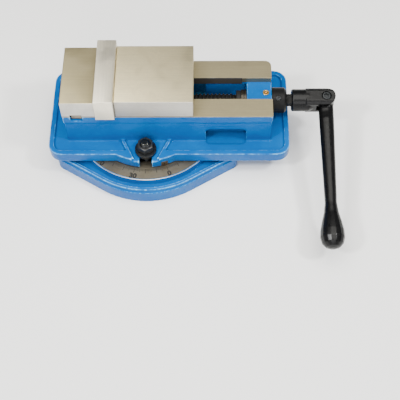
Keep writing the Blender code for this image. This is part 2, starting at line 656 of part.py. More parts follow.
def bed_bore_cutters(parent):
    """The bores for the pivot, screw, oil cup, cross key and jaw bolts."""
    pivot = turned("pivot_bore", disc(PIVOT_RADIUS + GAP, BED_BOTTOM - OVERSHOOT, DIAL_HEIGHT + PIVOT_REACH + GAP),
                   parent, hidden=True)
    journal = turned("journal_bore", disc(JOURNAL_RADIUS + GAP, SUPPORT_LEFT - OVERSHOOT, BODY_RIGHT + OVERSHOOT),
                     parent, axis="X", at=(0, 0, SCREW_Z), hidden=True)
    bolts = counterbore(JAW_BOLT_RADIUS + BOLT_GAP, RAIL_Z + OVERSHOOT, JAW_BOLT_SEAT, CAP_HEAD_JAW + BOLT_GAP,
                        BED_BOTTOM - OVERSHOOT)
    oiler = turned("oiler_bore", disc(OILER_STEM_RADIUS + GAP / 2, SCREW_Z, SUPPORT_Z + OVERSHOOT), parent,
                   at=(BODY_RIGHT - OILER_FROM_END, 0, 0), steps=SMALL_STEPS, hidden=True)
    key_slot = cross_key_slot("bed_key_slot", parent)
    return [pivot, journal, oiler, key_slot, *jaw_bolt_holes("bed", bolts, parent)]


def cross_key_slot(name, parent):
    """The slot across the bed and the fixed jaw, in which the cross key sits."""
    left = BODY_LEFT + CROSS_KEY_FROM_END - GAP
    right = BODY_LEFT + CROSS_KEY_FROM_END + CROSS_KEY_WIDTH + GAP
    high = RAIL_Z + CROSS_KEY_ABOVE_RAIL
    outline = rectangle(left, right, high - CROSS_KEY_HEIGHT - GAP, high + GAP)
    reach = BODY_HALF_WIDTH + OVERSHOOT
    return prism(name, outline, -reach, reach, parent, axis="Y", hidden=True)


def jaw_bolt_places():
    x = FIXED_JAW_FACE - JAW_BOLT_FROM_PLATE
    return (("front", x, -JAW_BOLT_SPREAD / 2), ("back", x, JAW_BOLT_SPREAD / 2))


def jaw_bolt_holes(owner, profile, parent):
    """Holes for the two bolts that hold the fixed jaw down from below."""
    return [
        turned(f"{owner}_{side}_bolt_hole", profile, parent, at=(x, y, 0), steps=SMALL_STEPS, hidden=True)
        for side, x, y in jaw_bolt_places()
    ]


# Jaws


def cap_screw(name, radius, length, parent, axis, at, flip=False):
    """A socket cap screw with its head's face at zero and its shank running along the axis."""
    head = radius * CAP_HEAD_RATIO
    head_height = 2 * radius
    sign = -1 if flip else 1
    profile = [
        (0, 0),
        (head - radius / 8, 0),
        (head, sign * radius / 8),
        (head, sign * head_height),
        (radius, sign * head_height),
        (radius, sign * (length - radius / 8)),
        (radius * 7 / 8, sign * length),
        (0, sign * length),
    ]
    screw = turned(name, profile, parent, axis=axis, at=at, steps=SMALL_STEPS)
    depth = sign * radius
    outline = [(u * 1.0, v * 1.0) for u, v in hexagon(1.5 * radius)]
    low, high = sorted((-sign * OVERSHOOT, depth))
    key = prism(f"{name}_key", outline, low, high, parent, axis=axis, hidden=True)
    key.data.transform(Matrix.Translation(at))
    cut(screw, key)
    return screw


def jaw_block(name, left, right, low, high, parent):
    half = BODY_HALF_WIDTH
    block = prism(name, rectangle(left, right, -half, half), low, high, parent)
    bevel(block, JAW_EDGE)
    return block


def make_fixed_jaw(parent):
    """The fixed jaw, its cross key and the two bolts under it."""
    top = JAW_TOP - FIXED_JAW_DROP
    jaw = jaw_block("fixed_jaw", BODY_LEFT, FIXED_JAW_FACE, JAW_BOTTOM, top, parent)
    thread = disc(JAW_BOLT_RADIUS + BOLT_GAP, JAW_BOTTOM - OVERSHOOT, JAW_BOTTOM + JAW_BOLT_ENTRY + 2 * GAP)
    cut(jaw, cross_key_slot("jaw_key_slot", parent), *jaw_bolt_holes("jaw", thread, parent))
    cut(jaw, *plate_screw_holes("fixed", FIXED_JAW_FACE - PLATE_SCREW_ENTRY, FIXED_JAW_FACE + OVERSHOOT, parent))
    reach = BODY_HALF_WIDTH - CROSS_KEY_RECESS
    left = BODY_LEFT + CROSS_KEY_FROM_END
    high = RAIL_Z + CROSS_KEY_ABOVE_RAIL
    key = prism("cross_key", rectangle(left, left + CROSS_KEY_WIDTH, high - CROSS_KEY_HEIGHT, high), -reach, reach,
                parent, axis="Y")
    bevel(key, 0.0008)
    length = JAW_BOLT_GRIP + GAP + JAW_BOLT_ENTRY + 2 * JAW_BOLT_RADIUS
    low = JAW_BOTTOM + JAW_BOLT_ENTRY - length - GAP
    bolts = [
        cap_screw(f"fixed_jaw_bolt_{side}", JAW_BOLT_RADIUS, length, parent, "Z", (x, y, low))
        for side, x, y in jaw_bolt_places()
    ]
    return jaw, key, bolts


def plate_screw_places():
    return (("front", -PLATE_SCREW_SPREAD / 2), ("back", PLATE_SCREW_SPREAD / 2))


def plate_screw_holes(owner, low, high, parent):
    profile = disc(PLATE_SCREW_RADIUS + BOLT_GAP, low, high)
    return [
        turned(f"{owner}_{side}_screw_hole", profile, parent, axis="X", at=(0, y, PLATE_SCREW_Z),
               steps=SMALL_STEPS, hidden=True)
        for side, y in plate_screw_places()
    ]


def make_jaw_plate(owner, left, facing, parent):
    """A hardened plate with two counterbored cap screws. Facing is +1 where it grips towards +X."""
    right = left + JAW_PLATE_THICKNESS
    half = JAW_WIDTH / 2
    plate = prism(f"{owner}_jaw_plate", rectangle(-half, half, JAW_BOTTOM, PLATE_TOP), left, right, parent, axis="X")
    bevel(plate, JAW_EDGE)
    face, back = (right, left) if facing > 0 else (left, right)
    step = face - facing * (2 * PLATE_SCREW_RADIUS + 2 * GAP)
    bore = counterbore(PLATE_SCREW_RADIUS + BOLT_GAP, back - facing * OVERSHOOT, step, CAP_HEAD_PLATE + GAP,
                       face + facing * OVERSHOOT)
    screws = []
    for side, y in plate_screw_places():
        cut(plate, turned(f"{owner}_{side}_bore", bore, parent, axis="X", at=(0, y, PLATE_SCREW_Z),
                          steps=SMALL_STEPS, hidden=True))
        start = face - facing * GAP
        length = JAW_PLATE_THICKNESS + PLATE_SCREW_ENTRY - 4 * GAP
        screws.append(cap_screw(f"{owner}_plate_screw_{side}", PLATE_SCREW_RADIUS, length, parent, "X",
                                (start, y, PLATE_SCREW_Z), flip=facing > 0))
    return plate, screws


def make_movable_jaw(parent):
    """The movable jaw: a block with a pocket for the nut's horn, a seat for the half ball, and two keels."""
    jaw = jaw_block("movable_jaw", MOVABLE_JAW_FACE, MOVABLE_JAW_END, JAW_BOTTOM, JAW_TOP, parent)
    keel_half = RAIL_GAP / 2 - GAP
    pocket_half = RAIL_GAP / 2 + HORN_CLEARANCE / 2
    pocket_left = NUT_RIGHT - NUT_HORN_LENGTH - HORN_CLEARANCE
    pocket_right = NUT_RIGHT + 2 * HORN_CLEARANCE
    keel_right = MOVABLE_JAW_END - KEEL_BACK_MARGIN
    keel = rectangle(-keel_half, keel_half, JAW_BOTTOM - KEEL_DEPTH, JAW_BOTTOM + OVERSHOOT)
    join(
        jaw,
        prism("front_keel", keel, MOVABLE_JAW_FACE + 2 * JAW_EDGE, pocket_left - HORN_CLEARANCE, parent, axis="X",
              hidden=True),
        prism("back_keel", keel, keel_right - KEEL_BACK_LENGTH, keel_right, parent, axis="X", hidden=True),
    )
    # The pocket's sloping side is square to the half ball's push.
    slope = ball_slope() - HALF_BALL_EXPOSED * math.sqrt(2)
    roof = JAW_TOP - JAW_ROOF
    low = JAW_BOTTOM - OVERSHOOT
    section = [(pocket_left, low), (pocket_right, low), (pocket_right, roof), (slope - roof, roof),
               (pocket_left, slope - pocket_left)]
    pocket = prism("horn_pocket", section, -pocket_half, pocket_half, parent, axis="Y", hidden=True)
    seat = ball("ball_seat", HALF_BALL_RADIUS + GAP, half_ball_centre(), parent, hidden=True)
    adjuster = turned("adjuster_hole", disc(ADJUSTER_RADIUS + BOLT_GAP, NUT_RIGHT, MOVABLE_JAW_END + OVERSHOOT),
                      parent, axis="X", at=(0, 0, adjuster_height()), steps=SMALL_STEPS, hidden=True)
    holes = plate_screw_holes("movable", MOVABLE_JAW_FACE - OVERSHOOT, MOVABLE_JAW_FACE + PLATE_SCREW_ENTRY, parent)
    cut(jaw, pocket, seat, adjuster, *holes)
    return jaw


def ball_slope():
    """x + z on the horn's face, which leans over the half ball at 45 degrees."""
    return NUT_RIGHT - NUT_HORN_LENGTH - NUT_HORN_OVERHANG + HORN_TOP


def half_ball_centre():
    """The middle of the horn's sloping face, off it by the running gap."""
    middle = NUT_HORN_OVERHANG / 2
    shift = GAP / math.sqrt(2)
    x = NUT_RIGHT - NUT_HORN_LENGTH - NUT_HORN_OVERHANG + middle
    return Vector((x - shift, 0, HORN_TOP - middle - shift))


def adjuster_height():
    return JAW_BOTTOM + JAW_HEIGHT / 3


def make_nut(parent):
    """The drive nut: a block under the rails, with a horn between them that leans over the half ball."""
    low = SCREW_Z - SCREW_RADIUS - 0.003
    shoulder = RAIL_Z - RAIL_DEPTH - GAP
    half = NUT_BLOCK_HALF_WIDTH
    nut = prism("drive_nut", rectangle(-half, half, low, shoulder), NUT_LEFT, NUT_RIGHT, parent, axis="X")
    horn_left = NUT_RIGHT - NUT_HORN_LENGTH
    section = [
        (horn_left, low + GAP),
        (NUT_RIGHT - GAP, low + GAP),
        (NUT_RIGHT - GAP, HORN_TOP),
        (horn_left - NUT_HORN_OVERHANG, HORN_TOP),
        (horn_left, HORN_TOP - NUT_HORN_OVERHANG),
    ]
    horn_half = RAIL_GAP / 2 - 2 * GAP
    join(nut, prism("horn", section, -horn_half, horn_half, parent, axis="Y", hidden=True))
    bore = disc(SCREW_RADIUS + GAP, NUT_LEFT - OVERSHOOT, NUT_RIGHT + OVERSHOOT)
    cut(nut, turned("nut_thread", bore, parent, axis="X", at=(0, 0, SCREW_Z), hidden=True))
    return nut


def make_half_ball(parent):
    """The half ball whose flat side lies on the horn, so that the nut pulls the jaw forward and down."""
    centre = half_ball_centre()
    piece = ball("half_ball", HALF_BALL_RADIUS, centre, parent)
    size = 4 * HALF_BALL_RADIUS
    block = prism("half_ball_flat", rectangle(0, size, -size, size), -size, size, parent, axis="Y", hidden=True)
    block.data.transform(Matrix.Translation(centre) @ Matrix.Rotation(-math.pi / 4, 4, "Y"))
    cut(piece, block)
    return piece


def make_adjuster(parent):
    """The headless screw in the jaw's end that takes up the play behind the nut."""
    left = NUT_RIGHT + GAP
    right = MOVABLE_JAW_END - ADJUSTER_RECESS
    profile = [(0, left), (ADJUSTER_RADIUS * 0.7, left), (ADJUSTER_RADIUS, left + 0.0015), (ADJUSTER_RADIUS, right),
               (0, right)]
    height = adjuster_height()
    screw = turned("jaw_adjusting_screw", profile, parent, axis="X", at=(0, 0, height), steps=SMALL_STEPS)
    key = prism("adjuster_key", hexagon(ADJUSTER_RADIUS), right - ADJUSTER_RADIUS, right + OVERSHOOT, parent,
                axis="X", hidden=True)
    key.data.transform(Matrix.Translation((0, 0, height)))
    cut(screw, key)
    return screw


# Screw and thrust bearing, about the screw's own axis


def make_screw(parent):
    """The lead screw: threaded length, thrust shoulder, journal and drive hex."""
    root = SCREW_RADIUS - SCREW_THREAD_DEPTH
    tip = 0.0015
    profile = [
        (0, SCREW_LEFT),
        (SCREW_RADIUS - tip, SCREW_LEFT),
        (SCREW_RADIUS, SCREW_LEFT + tip),
        (SCREW_RADIUS, SHOULDER_LEFT - 0.004),
        (root, SHOULDER_LEFT - 0.003),
        (root, SHOULDER_LEFT),
        (SHOULDER_RADIUS, SHOULDER_LEFT),
        (SHOULDER_RADIUS, SHOULDER_RIGHT),
        (JOURNAL_RADIUS, SHOULDER_RIGHT),
        (JOURNAL_RADIUS, COLLAR_RIGHT),
        (0, COLLAR_RIGHT),
    ]
    screw = turned("lead_screw", profile, parent, axis="X")
    drive = prism("drive_hex", drive_hexagon(HEX_FLATS), COLLAR_RIGHT - OVERSHOOT, HEX_RIGHT, parent, axis="X",
                  hidden=True)
    bevel(drive, 0.0006)
    join(screw, drive)
    return screw


def drive_hexagon(flats):
    """The drive hex, turned so that one flat faces along the handle's arm."""
    corner = flats / math.sqrt(3)
    start = HANDLE_DROOP + math.pi / 6
    return arc((0, 0), corner, start, start + 5 * math.pi / 3, 5)


def make_bearing(parent):
    """The thrust bearing: a race on each side of the roller cage."""
    bore = JOURNAL_RADIUS + GAP
    places = (
        ("thrust_race_screw", INNER_RACE_LEFT, RACE_THICKNESS, BEARING_RADIUS),
        ("roller_cage", CAGE_LEFT, CAGE_THICKNESS, BEARING_RADIUS - 0.0005),
        ("thrust_race_bed", CAGE_RIGHT + GAP, RACE_THICKNESS, BEARING_RADIUS),
    )
    return [
        turned(name, washer_profile(bore, radius, left, left + thickness), parent, axis="X", ring=True)
        for name, left, thickness, radius in places
    ]


def make_collar(parent):
    """The collar that keeps the screw in the bed, and its set screw."""
    bore = JOURNAL_RADIUS + GAP
    profile = [
        (bore, COLLAR_LEFT),
        (COLLAR_RADIUS, COLLAR_LEFT),
        (COLLAR_RADIUS, COLLAR_RIGHT - COLLAR_CHAMFER),
        (COLLAR_RADIUS - COLLAR_CHAMFER, COLLAR_RIGHT),
        (bore, COLLAR_RIGHT),
    ]
    collar = turned("retaining_collar", profile, parent, axis="X", ring=True)
    middle = (COLLAR_LEFT + COLLAR_RIGHT - COLLAR_CHAMFER) / 2
    place = Matrix.Translation((middle, 0, 0)) @ Matrix.Rotation(math.pi / 2 - COLLAR_SCREW_ANGLE, 4, "X")
    hole = turned("collar_screw_hole", disc(COLLAR_SCREW_RADIUS + GAP, JOURNAL_RADIUS, COLLAR_RADIUS + OVERSHOOT),
                  parent, steps=SMALL_STEPS, hidden=True)
    hole.data.transform(place)
    cut(collar, hole)
    high = COLLAR_RADIUS - 0.001
    screw = turned("collar_set_screw", disc(COLLAR_SCREW_RADIUS, JOURNAL_RADIUS + GAP, high), parent,
                   steps=SMALL_STEPS)
    screw.data.transform(place)
    key = prism("collar_screw_key", hexagon(COLLAR_SCREW_RADIUS), high - 0.0025, high + OVERSHOOT, parent, hidden=True)
    key.data.transform(place)
    cut(screw, key)
    return collar, screw


# Oil cup, about its own axis with the origin on the support's top


def make_oiler(cup_parent, ball_parent):
    """The pressed-in oil cup, and the sprung ball that closes it."""
    flange_low = GAP / 2
    top = flange_low + OILER_FLANGE_HEIGHT
    floor = top - OILER_BALL_SINK - OILER_BALL_RADIUS - 0.0012
    profile = [
        (0, -OILER_STEM_DEPTH),
        (OILER_STEM_RADIUS, -OILER_STEM_DEPTH),
        (OILER_STEM_RADIUS, flange_low),
        (OILER_FLANGE_RADIUS, flange_low),
        (OILER_FLANGE_RADIUS - 0.0004, top),
        (OILER_BORE_RADIUS, top),
        (OILER_BORE_RADIUS, floor),
        (0, floor),
    ]
    cup = turned("oil_cup", profile, cup_parent, steps=SMALL_STEPS)
    stopper = ball("oil_cup_ball", OILER_BALL_RADIUS, (0, 0, top - OILER_BALL_SINK), ball_parent)
    return cup, stopper


# Handle, about the screw's axis, with its pin upright and its arm towards -Y before the droop


def make_socket(parent):
    """The hex socket: a barrel on the screw's hex, running into a clevis that carries the arm."""
    face = SOCKET_LEFT
    shoulder = face + SOCKET_BARREL_LENGTH
    pivot = HANDLE_PIVOT_X
    edge = 0.001
    profile = [
        (0, face),
        (SOCKET_RADIUS - edge, face),
        (SOCKET_RADIUS, face + edge),
        (SOCKET_RADIUS, shoulder),
        (CLEVIS_RADIUS, shoulder + 0.006),
        (0, shoulder + 0.006),
    ]
    socket = turned("handle_socket", profile, parent, axis="X")
    cheeks = arc((pivot, 0), CLEVIS_RADIUS, -math.pi / 2, math.pi / 2, 10)
    outline = cheeks + [(shoulder - 0.004, CLEVIS_RADIUS), (shoulder - 0.004, -CLEVIS_RADIUS)]
    clevis = prism("clevis", outline, -CLEVIS_HALF_THICKNESS, CLEVIS_HALF_THICKNESS, parent, hidden=True)
    round_off = turned("clevis_round", disc(CLEVIS_HALF_THICKNESS * 1.12, face, pivot + CLEVIS_RADIUS + OVERSHOOT),
                       parent, axis="X", hidden=True)
    boolean(clevis, round_off, "INTERSECT")
    join(socket, clevis)
    slot_left = pivot - TONGUE_RADIUS - 0.0015
    slot = rectangle(slot_left, pivot + CLEVIS_RADIUS + OVERSHOOT, -CLEVIS_SLOT / 2, CLEVIS_SLOT / 2)
    reach = SOCKET_RADIUS + OVERSHOOT
    cutter = prism("clevis_slot", slot, -reach, reach, parent, axis="Y", hidden=True)
    hex_hole = prism("socket_hex", hexagon_toward_arm(HEX_FLATS + 2 * GAP), face - OVERSHOOT,
                     face + SOCKET_HEX_DEPTH, parent, axis="X", hidden=True)
    head_seat = CLEVIS_HALF_THICKNESS - HANDLE_PIVOT_HEAD_DEPTH - GAP
    bore = counterbore(HANDLE_PIVOT_RADIUS + GAP / 2, 0.003 - CLEVIS_HALF_THICKNESS, head_seat,
                       HANDLE_PIVOT_HEAD_RADIUS + GAP, CLEVIS_HALF_THICKNESS + OVERSHOOT)
    pin = turned("pin_hole", bore, parent, at=(pivot, 0, 0), steps=SMALL_STEPS + 2, hidden=True)
    cut(socket, cutter, hex_hole, pin)
    return socket


def hexagon_toward_arm(flats):
    """The socket's hex in the handle's own frame, where the arm points along -Y."""
    return arc((0, 0), flats / math.sqrt(3), math.pi / 6, 11 * math.pi / 6, 5)


def make_handle_pivot(parent):
    """The shoulder screw that the arm turns on, with its socket head let into the upper cheek."""
    head_low = CLEVIS_HALF_THICKNESS - HANDLE_PIVOT_HEAD_DEPTH
    top = CLEVIS_HALF_THICKNESS - GAP
    low = -CLEVIS_HALF_THICKNESS + 0.003 + GAP
    profile = [
        (0, low),
        (HANDLE_PIVOT_RADIUS, low),
        (HANDLE_PIVOT_RADIUS, head_low),
        (HANDLE_PIVOT_HEAD_RADIUS, head_low),
        (HANDLE_PIVOT_HEAD_RADIUS, top - 0.0005),
        (HANDLE_PIVOT_HEAD_RADIUS - 0.0005, top),
        (0, top),
    ]
    screw = turned("handle_pivot_screw", profile, parent, steps=SMALL_STEPS)
    key = prism("pivot_key", hexagon(HANDLE_PIVOT_HEAD_RADIUS), top - 0.003, top + OVERSHOOT, parent, hidden=True)
    cut(screw, key)
    return screw


def make_arm(parent):
    """The arm: a flat tongue in the clevis, a flattened shank that narrows, and a ball-like grip end."""
    bm = bmesh.new()
    rings = []
    for distance, half_width, half_thickness in HANDLE_SECTIONS:
        ring = []
        for i in range(HANDLE_CORNERS):
            angle = 2 * math.pi * (i + 0.5) / HANDLE_CORNERS
            ring.append(bm.verts.new((half_width * math.cos(angle), -distance, half_thickness * math.sin(angle))))
        rings.append(ring)
    for near, far in zip(rings, rings[1:]):
        for i in range(HANDLE_CORNERS):
            after = (i + 1) % HANDLE_CORNERS
            bm.faces.new((near[i], near[after], far[after], far[i]))
    bm.faces.new(rings[0])
    bm.faces.new(rings[-1])
    arm = finish_mesh("handle_arm", bm, parent)
    half = CLEVIS_SLOT / 2 - GAP
    tongue = turned("tongue", disc(TONGUE_RADIUS, -half, half), parent, hidden=True)
    join(arm, tongue)
    bore = disc(HANDLE_PIVOT_RADIUS + GAP, -CLEVIS_SLOT, CLEVIS_SLOT)
    cut(arm, turned("tongue_bore", bore, parent, steps=SMALL_STEPS, hidden=True))
    return arm


# The whole vise


def clear_scene():
    for obj in list(bpy.data.objects):
        bpy.data.objects.remove(obj)


def main():
    clear_scene()
    enamel = material("blue_enamel", (0.0, 0.26, 0.62), 0.35, 0.0)
    ground = material("ground_steel", (0.60, 0.57, 0.48), 0.38, 0.85)
    hardened = material("hardened_plate", (0.66, 0.64, 0.58), 0.35, 0.85)
    black = material("black_oxide", (0.02, 0.02, 0.02), 0.38, 0.6)
    bearing_steel = material("bearing_steel", (0.62, 0.62, 0.60), 0.25, 1.0)
    bronze = material("bronze", (0.52, 0.36, 0.16), 0.40, 1.0)
    brass = material("brass", (0.80, 0.62, 0.25), 0.30, 1.0)

    base_frame = frame("base_frame", (0, 0, 0))
    bed_frame = frame("bed_frame", (0, 0, 0), base_frame)
    dress(enamel, make_base(base_frame), make_bed(bed_frame))
    dress(bearing_steel, make_pivot(base_frame))
    for side, sign in (("front", -1), ("back", 1)):
        place = (0, sign * SWIVEL_BOLT_CIRCLE, 0)
        bolt_frame = frame(f"{side}_bolt_frame", place, bed_frame)
        washer_frame = frame(f"{side}_washer_frame", (0, 0, 0), bolt_frame)
        nut_frame = frame(f"{side}_nut_frame", (0, 0, 0), washer_frame)
        dress(black, *make_swivel_clamp(side, bolt_frame, washer_frame, nut_frame))

    fixed_jaw, cross_key, jaw_bolts = make_fixed_jaw(bed_frame)
    dress(ground, fixed_jaw)
    dress(black, cross_key, *jaw_bolts)
    fixed_plate, fixed_screws = make_jaw_plate("fixed", FIXED_PLATE_LEFT, 1, bed_frame)
    oiler_frame = frame("oiler_frame", (BODY_RIGHT - OILER_FROM_END, 0, SUPPORT_Z), bed_frame)
    dress(brass, *make_oiler(oiler_frame, frame("oiler_ball_frame", (0, 0, 0), oiler_frame)))

    jaw_frame = frame("movable_jaw_frame", (0, 0, 0), bed_frame)
    movable_plate, movable_screws = make_jaw_plate("movable", MOVABLE_PLATE_LEFT, -1, jaw_frame)
    dress(ground, make_movable_jaw(jaw_frame))
    dress(hardened, fixed_plate, movable_plate)
    dress(black, *fixed_screws, *movable_screws, make_adjuster(jaw_frame))
    dress(bronze, make_nut(jaw_frame))
    dress(bearing_steel, make_half_ball(jaw_frame))

    screw_frame = frame("screw_frame", (0, 0, SCREW_Z), bed_frame)
    collar, collar_screw = make_collar(screw_frame)
    dress(black, make_screw(screw_frame), collar, collar_screw)
    dress(bearing_steel, *make_bearing(screw_frame))

    socket_frame = frame("socket_frame", (0, 0, 0), screw_frame, (HANDLE_DROOP, 0, 0))
    arm_frame = frame("arm_frame", (HANDLE_PIVOT_X, 0, 0), socket_frame)
    dress(black, make_socket(socket_frame), make_handle_pivot_in(socket_frame), make_arm(arm_frame))


def make_handle_pivot_in(socket_frame):
    """The pivot screw stands on the clevis's axis but belongs to the socket."""
    return make_handle_pivot(frame("handle_pivot_frame", (HANDLE_PIVOT_X, 0, 0), socket_frame))


main()
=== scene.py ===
"""The looks of a machine vise: a cast bed on a graduated swivel base, ground steel jaws and a crank handle.

Every size and place comes from the frame's nodes. Lengths are metres, +X runs along the vise towards the
handle, -Y is the operator's side and +Z is up. Values written as a number times MM are millimetres.
"""

import logging
import math
from collections.abc import Callable, Sequence
from dataclasses import dataclass, field
from enum import Enum

import bmesh
import bpy
import numpy as np
from mathutils import Matrix, Vector


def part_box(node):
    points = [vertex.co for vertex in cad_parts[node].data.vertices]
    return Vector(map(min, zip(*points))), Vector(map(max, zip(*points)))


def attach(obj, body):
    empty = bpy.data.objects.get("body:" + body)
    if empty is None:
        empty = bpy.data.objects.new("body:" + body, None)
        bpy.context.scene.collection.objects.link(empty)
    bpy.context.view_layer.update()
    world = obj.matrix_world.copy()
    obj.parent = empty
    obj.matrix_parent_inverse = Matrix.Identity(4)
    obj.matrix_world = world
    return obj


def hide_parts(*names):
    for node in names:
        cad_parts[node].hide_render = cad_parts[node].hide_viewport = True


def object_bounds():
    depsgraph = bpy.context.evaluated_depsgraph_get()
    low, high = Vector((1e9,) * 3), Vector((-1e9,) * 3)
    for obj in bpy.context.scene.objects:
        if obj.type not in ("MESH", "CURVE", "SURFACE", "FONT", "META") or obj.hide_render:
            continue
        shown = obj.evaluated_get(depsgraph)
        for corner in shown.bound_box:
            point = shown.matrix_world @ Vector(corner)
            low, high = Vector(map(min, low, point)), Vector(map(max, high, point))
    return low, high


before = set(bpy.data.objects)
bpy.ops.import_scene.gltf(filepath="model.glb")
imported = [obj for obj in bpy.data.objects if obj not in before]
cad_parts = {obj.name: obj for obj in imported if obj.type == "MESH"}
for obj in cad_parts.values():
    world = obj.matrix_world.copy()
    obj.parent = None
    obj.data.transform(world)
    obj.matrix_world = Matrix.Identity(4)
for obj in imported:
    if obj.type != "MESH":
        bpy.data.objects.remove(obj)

CAD_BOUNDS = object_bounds()
LOG = logging.getLogger("vise")
MM = 0.001

Point = tuple[float, float]
Outline = list[Point]
Colour = tuple[float, float, float, float]

# Sockets of the Mix node that belong to its colour mode
MIX_A = 6
MIX_B = 7
MIX_RESULT = 2

# Name of the mesh value that is above zero on a casting's edges and below zero in its corners
BEND = "bend"


class Body(Enum):
    """The rigid bodies that pieces ride on."""

    BASE = "base"
    VISE = "vise"
    FRONT_WASHER = "front_washer"
    FRONT_NUT = "front_nut"
    BACK_WASHER = "back_washer"
    BACK_NUT = "back_nut"
    OIL_CUP_BALL = "oil_cup_ball"
    SCREW = "screw"
    ROLLER_CAGE = "roller_cage"
    JAW = "jaw"
    HANDLE = "handle"
    HANDLE_ARM = "handle_arm"


class Slot(Enum):
    """The record's material slots."""

    ENAMEL = "enamel"
    GROUND = "ground"
    HARDENED = "hardened"
    BLACK_OXIDE = "black_oxide"
    BEARING_STEEL = "bearing_steel"
    BRONZE = "bronze"
    BRASS = "brass"


class Axis(Enum):
    """A direction that a prism is extruded along or a profile is turned about."""

    X = "X"
    Y = "Y"
    Z = "Z"


class Side(Enum):
    """The operator's side of the vise and the far one. The value is the sign of y."""

    FRONT = -1
    BACK = 1

    @property
    def label(self) -> str:
        """The side's name as the nodes spell it."""
        return self.name.lower()


# Colour and nodes


def linear(hex_colour: str) -> Colour:
    """Turns an sRGB hex colour into linear light.

    Args:
        hex_colour: Six hex digits, with or without a leading hash.

    Returns:
        Red, green, blue and an alpha of 1.
    """
    digits = hex_colour.lstrip("#")
    channels = [int(digits[i : i + 2], 16) / 255 for i in (0, 2, 4)]
    light = [c / 12.92 if c <= 0.04045 else ((c + 0.055) / 1.055) ** 2.4 for c in channels]
    return (light[0], light[1], light[2], 1.0)


def per_metre(size_mm: float) -> float:
    """The texture scale at which a pattern repeats about once per size_mm."""
    return 1.0 / (size_mm * MM)


def add(
    tree: bpy.types.NodeTree,
    kind: str,
    settings: dict[str | int, object] | None = None,
    links: dict[str | int, tuple[bpy.types.Node, str | int]] | None = None,
) -> bpy.types.Node:
    """Adds one node to a tree.

    Args:
        tree: The tree that gets the node.
        kind: The node's Blender type.
        settings: Values for the node's own properties or, where it has none of that name, for its inputs.
        links: For each linked input, the node and the output that feed it.

    Returns:
        The new node.
    """
    node = tree.nodes.new(kind)
    for key, value in (settings or {}).items():
        if isinstance(key, str) and hasattr(node, key):
            setattr(node, key, value)
        else:
            node.inputs[key].default_value = value
    for key, (source, output) in (links or {}).items():
        tree.links.new(source.outputs[output], node.inputs[key])
    return node


# Finishes


@dataclass(frozen=True)
class Finish:
    """What a surface is made of. A subclass adds its pattern nodes.

    Attributes:
        name: The material's name.
        slot: The record's slot that the finish belongs to.
        colour: Main colour, sRGB hex.
        roughness: Middle of the roughness range.
        metallic: 1 for bare metal.
    """

    name: str
    slot: Slot
    colour: str
    roughness: float
    metallic: float = 1.0

    def material(self) -> bpy.types.Material:
        """Returns the finish's material, which is made the first time that it is asked for."""
        made = bpy.data.materials.get(self.name)
        if made is None:
            made = bpy.data.materials.new(self.name)
            made.use_nodes = True
            shader = made.node_tree.nodes["Principled BSDF"]
            shader.inputs["Base Color"].default_value = linear(self.colour)
            shader.inputs["Roughness"].default_value = self.roughness
            shader.inputs["Metallic"].default_value = self.metallic
            self.detail(made.node_tree, shader)
        return made

    def detail(self, tree: bpy.types.NodeTree, shader: bpy.types.Node) -> None:
        """Adds the finish's pattern to its tree.

        Args:
            tree: The material's tree.
            shader: Its Principled node.
        """
        raise NotImplementedError


